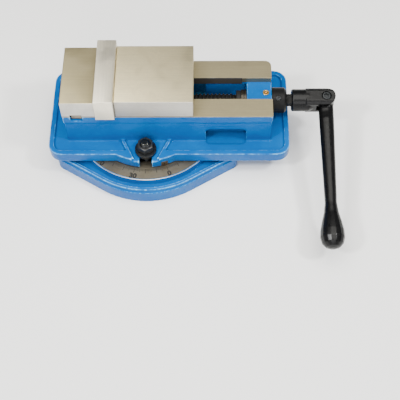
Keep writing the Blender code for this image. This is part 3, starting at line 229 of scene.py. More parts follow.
@dataclass(frozen=True)
class CastEnamel(Finish):
    """Gloss machine enamel, brushed thick over sand-cast iron.

    The sand's grain shows as soft lumps under the paint, and the paint's own skin as a finer ripple that
    breaks up its highlights. Its colour also carries painted shade, darker in corners, and on edges a lighter
    blue that is partly thin paint and partly painted highlight, with a pale blue painted highlight in broken
    streaks along the sharpest edges.

    Attributes:
        thin_colour: The paint where it is thin, and the lighter blue on edges that is partly painted
            highlight.
        pooled_colour: The painted shade in corners, and the colour of the casting's pits.
        edge_colour: The pale blue of the painted highlight along sharp edges.
        lump_mm: Size of the sand casting's lumps.
        ripple_mm: Size of the ripple in the paint's skin.
        break_mm: Size of the noise that breaks up the painted highlight on edges and places the pits.
    """

    thin_colour: str = "#0d7cc4"
    pooled_colour: str = "#003062"
    edge_colour: str = "#7cc6f4"
    lump_mm: float = 7.0
    ripple_mm: float = 2.2
    break_mm: float = 4.0

    def detail(self, tree: bpy.types.NodeTree, shader: bpy.types.Node) -> None:
        """Adds drifting tone, painted shade in corners, painted highlights on edges, pits, gloss breaks and
        the cast grain.
        """
        shader.inputs["IOR"].default_value = 1.45
        shader.inputs["Specular IOR Level"].default_value = 0.22
        shader.inputs["Specular Tint"].default_value = linear("#7cc2f6")
        place = add(tree, "ShaderNodeTexCoord")
        drift = add(
            tree, "ShaderNodeTexNoise", {"Scale": per_metre(40), "Detail": 3.0}, {"Vector": (place, "Object")}
        )
        amount = add(
            tree, "ShaderNodeMapRange", {"From Min": 0.45, "From Max": 0.75, "To Max": 0.20},
            {"Value": (drift, "Fac")}
        )
        tone = add(
            tree, "ShaderNodeMix",
            {"data_type": "RGBA", MIX_A: linear(self.colour), MIX_B: linear(self.thin_colour)},
            {"Factor": (amount, "Result")},
        )
        bend = add(tree, "ShaderNodeAttribute", {"attribute_name": BEND})
        # Painted shade: where the surface bends into a corner, the blue turns darker.
        shade_in_corners = add(
            tree, "ShaderNodeMapRange", {"From Min": -0.06, "From Max": -0.4, "To Max": 0.85},
            {"Value": (bend, "Fac")}
        )
        corner_shaded_tone = add(
            tree, "ShaderNodeMix", {"data_type": "RGBA", MIX_B: linear(self.pooled_colour)},
            {"Factor": (shade_in_corners, "Result"), MIX_A: (tone, MIX_RESULT)},
        )
        # Partly thin paint, partly painted highlight: convex edges turn a lighter blue.
        edge = add(
            tree, "ShaderNodeMapRange", {"From Min": 0.10, "From Max": 0.55, "To Max": 0.7},
            {"Value": (bend, "Fac")}
        )
        thinned = add(
            tree, "ShaderNodeMix", {"data_type": "RGBA", MIX_B: linear(self.thin_colour)},
            {"Factor": (edge, "Result"), MIX_A: (corner_shaded_tone, MIX_RESULT)},
        )
        breaks = add(
            tree, "ShaderNodeTexNoise", {"Scale": per_metre(self.break_mm), "Detail": 3.0, "Roughness": 0.7},
            {"Vector": (place, "Object")},
        )
        # Painted highlight: the sharpest edges turn pale blue, in streaks that the noise breaks up.
        edge_highlight_streaks = add(
            tree, "ShaderNodeMath", {"operation": "MULTIPLY_ADD", 2: -0.07},
            {0: (bend, "Fac"), 1: (breaks, "Fac")},
        )
        crest = add(
            tree, "ShaderNodeMapRange", {"From Min": -0.01, "From Max": 0.14, "To Max": 0.95},
            {"Value": (edge_highlight_streaks, "Value")},
        )
        edge_highlighted = add(
            tree, "ShaderNodeMix", {"data_type": "RGBA", MIX_B: linear(self.edge_colour)},
            {"Factor": (crest, "Result"), MIX_A: (thinned, MIX_RESULT)},
        )
        pits = add(
            tree, "ShaderNodeMapRange", {"From Min": 0.68, "From Max": 0.76, "To Max": 0.6},
            {"Value": (breaks, "Fac")},
        )
        pitted = add(
            tree, "ShaderNodeMix", {"data_type": "RGBA", MIX_B: linear(self.pooled_colour)},
            {"Factor": (pits, "Result"), MIX_A: (edge_highlighted, MIX_RESULT)},
        )
        tree.links.new(pitted.outputs[MIX_RESULT], shader.inputs["Base Color"])
        lumps = add(
            tree, "ShaderNodeTexNoise", {"Scale": per_metre(self.lump_mm), "Detail": 4.0, "Roughness": 0.6},
            {"Vector": (place, "Object")},
        )
        ripple = add(
            tree, "ShaderNodeTexNoise", {"Scale": per_metre(self.ripple_mm), "Detail": 2.0},
            {"Vector": (place, "Object")},
        )
        gloss = add(
            tree, "ShaderNodeMapRange",
            {"From Min": 0.3, "From Max": 0.7, "To Min": self.roughness - 0.06,
                "To Max": self.roughness + 0.08},
            {"Value": (lumps, "Fac")},
        )
        tree.links.new(gloss.outputs["Result"], shader.inputs["Roughness"])
        coarse = add(
            tree, "ShaderNodeBump", {"Strength": 0.7, "Distance": 1.0 * MM}, {"Height": (lumps, "Fac")}
        )
        fine = add(
            tree, "ShaderNodeBump", {"Strength": 0.7, "Distance": 0.3 * MM},
            {"Height": (ripple, "Fac"), "Normal": (coarse, "Normal")},
        )
        tree.links.new(fine.outputs["Normal"], shader.inputs["Normal"])


@dataclass(frozen=True)
class GroundSteel(Finish):
    """Steel off a surface grinder: fine straight lines along the table's travel, and a faint oil bloom.

    Attributes:
        travel: Direction of the grinding lines.
        line_mm: Spacing of the lines, drawn coarser than the wheel's real 0.1 mm grit so that they show.
        bloom_colour: The colour of dried rust preventive, which lies in soft patches.
    """

    travel: Axis = Axis.X
    line_mm: float = 0.7
    bloom_colour: str = "#a89f84"

    def detail(self, tree: bpy.types.NodeTree, shader: bpy.types.Node) -> None:
        """Adds the grinding lines and the bloom."""
        place = add(tree, "ShaderNodeTexCoord")
        stretch = [1.0, 1.0, 1.0]
        stretch["XYZ".index(self.travel.value)] = 0.012
        along = add(tree, "ShaderNodeMapping", {"Scale": stretch}, {"Vector": (place, "Object")})
        lines = add(
            tree, "ShaderNodeTexNoise", {"Scale": per_metre(self.line_mm), "Detail": 3.0, "Roughness": 0.7},
            {"Vector": (along, "Vector")},
        )
        patches = add(
            tree, "ShaderNodeTexNoise", {"Scale": per_metre(30), "Detail": 5.0, "Roughness": 0.62,
                "Distortion": 0.4},
            {"Vector": (place, "Object")},
        )
        patch_range = add(
            tree, "ShaderNodeMapRange", {"From Min": 0.45, "From Max": 0.75, "To Max": 0.55},
            {"Value": (patches, "Fac")},
        )
        bloom = add(
            tree, "ShaderNodeMix",
            {"data_type": "RGBA", MIX_A: linear(self.colour), MIX_B: linear(self.bloom_colour)},
            {"Factor": (patch_range, "Result")},
        )
        streak = add(
            tree, "ShaderNodeMapRange", {"From Min": 0.3, "From Max": 0.7, "To Min": 0.90, "To Max": 1.08},
            {"Value": (lines, "Fac")},
        )
        lined = add(
            tree, "ShaderNodeVectorMath", {"operation": "SCALE"},
            {0: (bloom, MIX_RESULT), "Scale": (streak, "Result")},
        )
        tree.links.new(lined.outputs["Vector"], shader.inputs["Base Color"])
        gloss = add(
            tree, "ShaderNodeMapRange",
            {"From Min": 0.3, "From Max": 0.75, "To Min": self.roughness - 0.05,
                "To Max": self.roughness + 0.14},
            {"Value": (patches, "Fac")},
        )
        tree.links.new(gloss.outputs["Result"], shader.inputs["Roughness"])
        scratch = add(
            tree, "ShaderNodeBump", {"Strength": 0.30, "Distance": 0.03 * MM}, {"Height": (lines, "Fac")}
        )
        tree.links.new(scratch.outputs["Normal"], shader.inputs["Normal"])


@dataclass(frozen=True)
class TurnedMetal(Finish):
    """Metal faced or turned on a lathe: fine rings about the axis, each catching light a little differently.

    Attributes:
        axis: The axis that the piece was turned about, through centre.
        centre: A point on it.
        feed_mm: Spacing of the tool's rings.
        stain_colour: The colour of handling stains.
    """

    axis: Axis = Axis.Z
    centre: tuple[float, float, float] = (0.0, 0.0, 0.0)
    feed_mm: float = 0.5
    stain_colour: str = "#6d655a"

    def detail(self, tree: bpy.types.NodeTree, shader: bpy.types.Node) -> None:
        """Adds the tool's rings and the stains."""
        place = add(tree, "ShaderNodeTexCoord")
        flatten = [1.0, 1.0, 1.0]
        flatten["XYZ".index(self.axis.value)] = 0.0
        shift = tuple(-c * f for c, f in zip(self.centre, flatten))
        about = add(tree, "ShaderNodeMapping", {"Location": shift, "Scale": flatten},
            {"Vector": (place, "Object")})
        radius = add(tree, "ShaderNodeVectorMath", {"operation": "LENGTH"}, {0: (about, "Vector")})
        height = add(tree, "ShaderNodeSeparateXYZ", None, {"Vector": (place, "Object")})
        travel = add(
            tree, "ShaderNodeMath", {"operation": "ADD"}, {0: (radius, "Value"), 1: (height, self.axis.value)}
        )
        rings = add(
            tree, "ShaderNodeTexNoise",
            {"noise_dimensions": "1D", "Scale": per_metre(self.feed_mm), "Detail": 2.0},
            {"W": (travel, "Value")},
        )
        stains = add(
            tree, "ShaderNodeTexNoise", {"Scale": per_metre(14), "Detail": 5.0, "Roughness": 0.6},
            {"Vector": (place, "Object")},
        )
        stained = add(
            tree, "ShaderNodeMapRange", {"From Min": 0.45, "From Max": 0.75, "To Max": 0.6},
            {"Value": (stains, "Fac")}
        )
        colour = add(
            tree, "ShaderNodeMix",
            {"data_type": "RGBA", MIX_A: linear(self.colour), MIX_B: linear(self.stain_colour)},
            {"Factor": (stained, "Result")},
        )
        tree.links.new(colour.outputs[MIX_RESULT], shader.inputs["Base Color"])
        gloss = add(
            tree, "ShaderNodeMapRange",
            {"From Min": 0.3, "From Max": 0.7, "To Min": self.roughness - 0.06,
                "To Max": self.roughness + 0.10},
            {"Value": (rings, "Fac")},
        )
        tree.links.new(gloss.outputs["Result"], shader.inputs["Roughness"])
        groove = add(
            tree, "ShaderNodeBump", {"Strength": 0.35, "Distance": 0.04 * MM}, {"Height": (rings, "Fac")}
        )
        tree.links.new(groove.outputs["Normal"], shader.inputs["Normal"])


@dataclass(frozen=True)
class BlackSteel(Finish):
    """Steel with a hot black oxide, or a black lacquer over a forging.

    Oxide gives a dull, slightly brown black that breaks to grey on edges. Lacquer gives a deep black with a
    clear gloss over the forging's soft waves.

    Attributes:
        edge_colour: What shows through on edges.
        wave_mm: Size of the surface's waves.
        wave_depth_mm: Their depth.
        shine: Strength of the surface's own reflection.
    """

    edge_colour: str = "#4a4845"
    wave_mm: float = 2.0
    wave_depth_mm: float = 0.08
    shine: float = 0.5

    def detail(self, tree: bpy.types.NodeTree, shader: bpy.types.Node) -> None:
        """Adds the mottled tone, the worn edges and the waves."""
        shader.inputs["Specular IOR Level"].default_value = self.shine
        shader.inputs["Coat Roughness"].default_value = 0.08
        place = add(tree, "ShaderNodeTexCoord")
        mottle = add(
            tree, "ShaderNodeTexNoise", {"Scale": per_metre(5), "Detail": 5.0, "Roughness": 0.65},
            {"Vector": (place, "Object")},
        )
        shape = add(tree, "ShaderNodeNewGeometry")
        edge = add(
            tree, "ShaderNodeMapRange", {"From Min": 0.53, "From Max": 0.62, "To Max": 0.6},
            {"Value": (shape, "Pointiness")},
        )
        broken = add(
            tree, "ShaderNodeMath", {"operation": "MULTIPLY"}, {0: (edge, "Result"), 1: (mottle, "Fac")}
        )
        colour = add(
            tree, "ShaderNodeMix",
            {"data_type": "RGBA", MIX_A: linear(self.colour), MIX_B: linear(self.edge_colour)},
            {"Factor": (broken, "Value")},
        )
        tree.links.new(colour.outputs[MIX_RESULT], shader.inputs["Base Color"])
        gloss = add(
            tree, "ShaderNodeMapRange",
            {"From Min": 0.3, "From Max": 0.7, "To Min": self.roughness - 0.06,
                "To Max": self.roughness + 0.10},
            {"Value": (mottle, "Fac")},
        )
        tree.links.new(gloss.outputs["Result"], shader.inputs["Roughness"])
        waves = add(
            tree, "ShaderNodeTexNoise", {"Scale": per_metre(self.wave_mm), "Detail": 2.5},
            {"Vector": (place, "Object")},
        )
        relief = add(
            tree, "ShaderNodeBump", {"Strength": 0.5, "Distance": self.wave_depth_mm * MM},
            {"Height": (waves, "Fac")}
        )
        tree.links.new(relief.outputs["Normal"], shader.inputs["Normal"])


@dataclass(frozen=True)
class EngravingFill(Finish):
    """Black wax rubbed into engraved marks: matt, with a little grain."""

    def detail(self, tree: bpy.types.NodeTree, shader: bpy.types.Node) -> None:
        """Adds the grain."""
        place = add(tree, "ShaderNodeTexCoord")
        grain = add(tree, "ShaderNodeTexNoise", {"Scale": per_metre(0.6)}, {"Vector": (place, "Object")})
        tone = add(
            tree, "ShaderNodeMix",
            {"data_type": "RGBA", MIX_A: linear(self.colour), MIX_B: linear("#1c1a17")},
            {"Factor": (grain, "Fac")},
        )
        tree.links.new(tone.outputs[MIX_RESULT], shader.inputs["Base Color"])


@dataclass(frozen=True)
class PaleFloor(Finish):
    """A seamless matt paper sweep, with the faint tooth of its fibres."""

    def detail(self, tree: bpy.types.NodeTree, shader: bpy.types.Node) -> None:
        """Adds the tooth."""
        place = add(tree, "ShaderNodeTexCoord")
        tooth = add(tree, "ShaderNodeTexNoise", {"Scale": per_metre(1.5)}, {"Vector": (place, "Object")})
        relief = add(tree, "ShaderNodeBump", {"Strength": 0.04, "Distance": 0.1 * MM},
            {"Height": (tooth, "Fac")})
        tree.links.new(relief.outputs["Normal"], shader.inputs["Normal"])


ENAMEL = CastEnamel("blue_enamel", Slot.ENAMEL, "#004f92", 0.16, metallic=0.0)
# A greyer, lighter copy of the blue enamel for the cavity between the rails: painted light.
CAVITY_LIGHT_ENAMEL = CastEnamel(
    "blue_enamel_in_shade", Slot.ENAMEL, "#205f88", 0.26, metallic=0.0, thin_colour="#3a7aa0",
    pooled_colour="#0c3350"
)
# Copies of one ground steel in four colours, which paint the light on the jaws: warmer tops than fronts and
# backs, and a darker top on the fixed jaw than on the movable one.
JAW_PAINTED_LIGHT = GroundSteel("ground_jaw_steel", Slot.GROUND, "#dfd3ac", 0.44, travel=Axis.X)
FIXED_PAINTED_LIGHT = GroundSteel("ground_fixed_jaw_steel", Slot.GROUND, "#b8ac86", 0.45, travel=Axis.X)
JAW_SIDE_PAINTED_LIGHT = GroundSteel("ground_jaw_side", Slot.GROUND, "#bdb9b0", 0.46, travel=Axis.X, bloom_colour="#a6a29a")
FIXED_SIDE_PAINTED_LIGHT = GroundSteel(
    "ground_fixed_jaw_side", Slot.GROUND, "#c8c5bd", 0.46, travel=Axis.X, bloom_colour="#b4b0a6"
)
RAIL_GROUND = GroundSteel(
    "ground_rail_iron", Slot.ENAMEL, "#9f9577", 0.46, travel=Axis.X, bloom_colour="#8d846a"
)
PLATE_GROUND = GroundSteel(
    "ground_plate_steel", Slot.HARDENED, "#e8e1cd", 0.42, travel=Axis.Y, bloom_colour="#cdc5b0"
)
KEY_GROUND = GroundSteel(
    "oiled_key_steel", Slot.BLACK_OXIDE, "#8c8170", 0.40, travel=Axis.Y, bloom_colour="#5f5140"
)
DIAL_IRON = TurnedMetal("turned_dial_iron", Slot.ENAMEL, "#6a6457", 0.42, feed_mm=0.6, stain_colour="#554d41")
# A much lighter copy of the dial's turned iron for its chamfer: painted highlight.
CHAMFER_PAINTED_HIGHLIGHT = TurnedMetal(
    "bright_chamfer_iron", Slot.ENAMEL, "#dfe0de", 0.28, feed_mm=0.6, stain_colour="#b7b0a0"
)
PAD_IRON = TurnedMetal("filed_pad_iron", Slot.ENAMEL, "#6b6153", 0.45, feed_mm=0.8, stain_colour="#463d33")
OXIDE = BlackSteel("black_oxide_steel", Slot.BLACK_OXIDE, "#222426", 0.34, metallic=0.7)
DULL_OXIDE = BlackSteel("dull_black_steel", Slot.BLACK_OXIDE, "#131313", 0.40, metallic=0.0, shine=0.10)
WORN_OXIDE = BlackSteel("rubbed_oxide_steel", Slot.BLACK_OXIDE, "#2f302d", 0.22, metallic=0.9)
LACQUER = BlackSteel(
    "black_lacquered_forging", Slot.BLACK_OXIDE, "#050506", 0.30, metallic=0.0, edge_colour="#0e0e10",
    wave_mm=6.0,
    wave_depth_mm=0.30, shine=0.22,
)
DARK_BARE_IRON = BlackSteel("dark_bare_iron", Slot.ENAMEL, "#4a4641", 0.50, metallic=0.6, wave_mm=3.0)
DARK_BEARING_STEEL = BlackSteel("dark_bearing_steel", Slot.BEARING_STEEL, "#3a3630", 0.30, metallic=0.8, wave_mm=1.5)
BEARING = TurnedMetal("bearing_steel", Slot.BEARING_STEEL, "#c9c9c6", 0.22, axis=Axis.X, feed_mm=0.4)
PIN_STEEL = TurnedMetal("pin_steel", Slot.BEARING_STEEL, "#c4c4c0", 0.24, feed_mm=0.4)
BRONZE = TurnedMetal("nut_bronze", Slot.BRONZE, "#c09a5e", 0.34, axis=Axis.X, stain_colour="#7f5f33")
BRASS = TurnedMetal("turned_brass", Slot.BRASS, "#d9bb74", 0.28, feed_mm=0.3, stain_colour="#a0793c")
COPPERED = TurnedMetal("oiled_bronze_ball", Slot.BRASS, "#c9803a", 0.25, feed_mm=0.3, stain_colour="#8a5224")
WAX = EngravingFill("engraving_wax", Slot.BLACK_OXIDE, "#0b0a08", 0.85, metallic=0.0)


# Mesh tools


def arc(centre: Point, radius: float, start: float, end: float, steps: int) -> Outline:
    """Points along an arc.

    Args:
        centre: The arc's centre.
        radius: Its radius.
        start: The first point's angle.
        end: The last point's angle.
        steps: How many chords stand for it.

    Returns:
        steps + 1 points.
    """
    turn = (end - start) / steps
    angles = [start + turn * i for i in range(steps + 1)]
    return [(centre[0] + radius * math.cos(a), centre[1] + radius * math.sin(a)) for a in angles]


def rectangle(left: float, right: float, bottom: float, top: float) -> Outline:
    """The four corners of an upright rectangle."""
    return [(left, bottom), (right, bottom), (right, top), (left, top)]


def hexagon(flats: float, turn: float = 0.0) -> Outline:
    """A hexagon of that width across flats, with a flat facing the first axis before the turn."""
    start = turn + math.pi / 6
    return arc((0, 0), flats / math.sqrt(3), start, start + 5 * math.pi / 3, 5)


def axis_turn(axis: Axis) -> Matrix:
    """The rotation that lays the Z axis along another one."""
    if axis is Axis.X:
        return Matrix.Rotation(math.pi / 2, 4, "Y")
    if axis is Axis.Y:
        return Matrix.Rotation(-math.pi / 2, 4, "X")
    return Matrix.Identity(4)


def linked(name: str, bm: bmesh.types.BMesh) -> bpy.types.Object:
    """Turns a bmesh into an object in the scene.

    Args:
        name: The object's name.
        bm: The mesh, which is freed.

    Returns:
        The object.
    """
    bmesh.ops.remove_doubles(bm, verts=bm.verts, dist=0.002 * MM)
    bmesh.ops.recalc_face_normals(bm, faces=bm.faces)
    mesh = bpy.data.meshes.new(name)
    bm.to_mesh(mesh)
    bm.free()
    made = bpy.data.objects.new(name, mesh)
    bpy.context.scene.collection.objects.link(made)
    return made


def prism(name: str, outline: Outline, low: float, high: float, axis: Axis = Axis.Z) -> bpy.types.Object:
    """Extrudes an outline along an axis.

    Args:
        name: The object's name.
        outline: Points in the plane square to the axis: (y, z) for X, (x, z) for Y and (x, y) for Z.
        low: Where the prism starts on the axis.
        high: Where it ends.
        axis: The axis.

    Returns:
        The prism.
    """
    order: dict[Axis, Callable[[float, float, float], tuple[float, float, float]]] = {
        Axis.X: lambda u, v, w: (w, u, v),
        Axis.Y: lambda u, v, w: (u, w, v),
        Axis.Z: lambda u, v, w: (u, v, w),
    }
    bm = bmesh.new()
    ends = [[bm.verts.new(order[axis](u, v, w)) for u, v in outline] for w in (low, high)]
    for end in ends:
        bm.faces.new(end)
    for i in range(len(outline)):
        after = (i + 1) % len(outline)
        bm.faces.new((ends[0][i], ends[0][after], ends[1][after], ends[1][i]))
    return linked(name, bm)


def turned(
    name: str,
    profile: Outline,
    axis: Axis = Axis.Z,
    at: Sequence[float] = (0.0, 0.0, 0.0),
    steps: int = 64,
    ring: bool = False,
) -> bpy.types.Object:
    """Spins a profile about an axis.

    Args:
        name: The object's name.
        profile: (radius, distance along the axis) points.
        axis: The axis.
        at: A point on it, from which the distances count.
        steps: Facets of a full turn.
        ring: True where the profile closes on itself instead of on the axis.

    Returns:
        The turned piece.
    """
    bm = bmesh.new()
    points = [bm.verts.new((radius, 0, height)) for radius, height in profile]
    pairs = list(zip(points, points[1:]))
    if ring:
        pairs.append((points[-1], points[0]))
    edges = [bm.edges.new(pair) for pair in pairs]
    bmesh.ops.spin(bm, geom=points + edges, axis=(0, 0, 1), cent=(0, 0, 0), steps=steps, angle=2 * math.pi)
    bm.transform(Matrix.Translation(at) @ axis_turn(axis))
    return linked(name, bm)


def screwed(
    name: str, radius: float, depth: float, pitch: float, low: float, high: float, axis: Axis,
    at: Sequence[float],
    left_hand: bool = False, crest: float = 0.3,
) -> bpy.types.Object:
    """A threaded rod, closed at both ends, whose thread runs out in a short cone.

    Args:
        name: The object's name.
        radius: Outside radius.
        depth: Depth of the thread.
        pitch: Distance from one turn to the next.
        low: Where the rod starts along the axis.
        high: Where it ends.
        axis: The rod's axis.
        at: A point on it, from which low and high count.
        left_hand: True for a left-hand thread.
        crest: Share of the pitch that the crest and the root each take up.

    Returns:
        The rod.
    """
    corners, rows_per_turn = 36, 10
    rows = max(4, math.ceil((high - low) / pitch * rows_per_turn))
    hand = -1 if left_hand else 1
    bm = bmesh.new()
    rings = []
    for row in range(rows + 1):
        height = low + (high - low) * row / rows
        run_out = min(1.0, (height - low) / pitch, (high - height) / pitch)
        ring = []
        for i in range(corners):
            phase = (height / pitch - hand * i / corners) % 1.0
            slope = abs(phase - 0.5) * 2
            cut = min(1.0, max(0.0, (slope - crest) / (1 - 2 * crest)))
            here = radius - depth * max(cut, 1 - run_out)
            angle = 2 * math.pi * i / corners
            ring.append(bm.verts.new((here * math.cos(angle), here * math.sin(angle), height)))
        rings.append(ring)
    for near, far in zip(rings, rings[1:]):
        for i in range(corners):
            after = (i + 1) % corners
            bm.faces.new((near[i], near[after], far[after], far[i]))
    bm.faces.new(rings[0])
    bm.faces.new(rings[-1])
    bm.transform(Matrix.Translation(at) @ axis_turn(axis))
    return linked(name, bm)


def copied(node: str, name: str) -> bpy.types.Object:
    """A copy of a node's solid, with its flat faces whole again, to make a finer piece from."""
    bm = bmesh.new()
    bm.from_mesh(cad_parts[node].data)
    bmesh.ops.remove_doubles(bm, verts=bm.verts, dist=0.002 * MM)
    bmesh.ops.dissolve_limit(bm, angle_limit=math.radians(0.6), verts=bm.verts, edges=bm.edges)
    return linked(name, bm)


def settled(piece: bpy.types.Object) -> bpy.types.Object:
    """Applies a piece's modifiers to its mesh, and returns the piece."""
    bpy.context.view_layer.update()
    graph = bpy.context.evaluated_depsgraph_get()
    old = piece.data
    piece.data = bpy.data.meshes.new_from_object(piece.evaluated_get(graph))
    piece.modifiers.clear()
    bpy.data.meshes.remove(old)
    return piece


def carved(
    piece: bpy.types.Object, cutters: Sequence[bpy.types.Object], joins: bool = False
) -> bpy.types.Object:
    """Cuts other solids out of a piece, or joins them to it, and removes them.

    Args:
        piece: The piece.
        cutters: The solids.
        joins: True to join.

    Returns:
        The piece.
    """
    for cutter in cutters:
        modifier = piece.modifiers.new(cutter.name, "BOOLEAN")
        modifier.object = cutter
        modifier.operation = "UNION" if joins else "DIFFERENCE"
    settled(piece)
    for cutter in cutters:
        bpy.data.objects.remove(cutter)
    return piece


def eased(
    piece: bpy.types.Object, width: float, segments: int = 3, sharp_deg: float = 30.0
) -> bpy.types.Object:
    """Breaks a piece's edges with a small round, and shades it smooth between them.

    Args:
        piece: The piece.
        width: The round's width.
        segments: Its facets.
        sharp_deg: Edges that turn more than this are rounded.

    Returns:
        The piece.
    """
    bevel = piece.modifiers.new("eased_edges", "BEVEL")
    bevel.width = width
    bevel.segments = segments
    bevel.limit_method = "ANGLE"
    bevel.angle_limit = math.radians(sharp_deg)
    piece.data.shade_smooth()
    bevel.harden_normals = True
    return settled(piece)


def cast(piece: bpy.types.Object, grain: float, rounds: int, keep: float) -> bpy.types.Object:
    """Gives a solid the soft corners and fillets of a sand casting under paint.

    Args:
        piece: The solid.
        grain: Size of the cells that it is remade from.
        rounds: Smoothing passes, which set how large the fillets get.
        keep: Share of the faces kept after thinning.

    Returns:
        The piece.
    """
    remade = piece.modifiers.new("cells", "REMESH")
    remade.mode = "VOXEL"
    remade.voxel_size = grain
    smoothed = piece.modifiers.new("fillets", "SMOOTH")
    smoothed.factor = 0.5
    smoothed.iterations = rounds
    thinned = piece.modifiers.new("thinned", "DECIMATE")
    thinned.ratio = keep
    settled(piece)
    piece.data.shade_smooth()
    mark_bends(piece, 1.5 * MM)
    return piece


def mark_bends(piece: bpy.types.Object, reach: float, rounds: int = 6) -> None:
    """Stores how sharply the surface bends at each point: above zero on edges and below zero in corners.

    Args:
        piece: The piece.
        reach: The radius of bend that counts as 1.
        rounds: How many times each value is averaged with its neighbours'.
    """
    mesh = piece.data
    count = len(mesh.vertices)
    places = np.empty(count * 3)
    normals = np.empty(count * 3)
    ends = np.empty(len(mesh.edges) * 2, dtype=np.int64)
    mesh.vertices.foreach_get("co", places)
    mesh.vertex_normals.foreach_get("vector", normals)
    mesh.edges.foreach_get("vertices", ends)
    places, normals, ends = places.reshape(-1, 3), normals.reshape(-1, 3), ends.reshape(-1, 2)
    first, second = ends[:, 0], ends[:, 1]
    step = places[second] - places[first]
    square = np.maximum((step**2).sum(axis=1), 1e-12)
    neighbours = np.maximum(np.bincount(ends.ravel(), minlength=count), 1)
    here = -(normals[first] * step).sum(axis=1) / square
    there = (normals[second] * step).sum(axis=1) / square
    bend = (np.bincount(first, here, count) + np.bincount(second, there, count)) / neighbours
    for _ in range(rounds):
        around = np.bincount(first, bend[second], count) + np.bincount(second, bend[first], count)
        bend = (bend + around / neighbours) / 2
    values = np.clip(bend * reach, -1, 1)
    mesh.attributes.new(BEND, "FLOAT", "POINT").data.foreach_set("value", values)


def install(
    piece: bpy.types.Object, body: Body, finish: Finish, stands_for: Sequence[str] = ()
) -> bpy.types.Object:
    """Dresses a piece, hangs it on its body and reports it.

    Args:
        piece: The piece, in place.
        body: What it moves with.
        finish: What it is made of.
        stands_for: The nodes that it takes the place of.

    Returns:
        The piece.
    """
    piece.data.materials.clear()
    piece.data.materials.append(finish.material())
    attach(piece, body.value)
    if stands_for:
        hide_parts(*stands_for)
    LOG.info("%s: %s, %s", piece.name, body.value, finish.name)
    return piece


def middle(node: str) -> Vector:
    """The centre of a node's box."""
    low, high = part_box(node)
    return (low + high) / 2


# Sub-assemblies


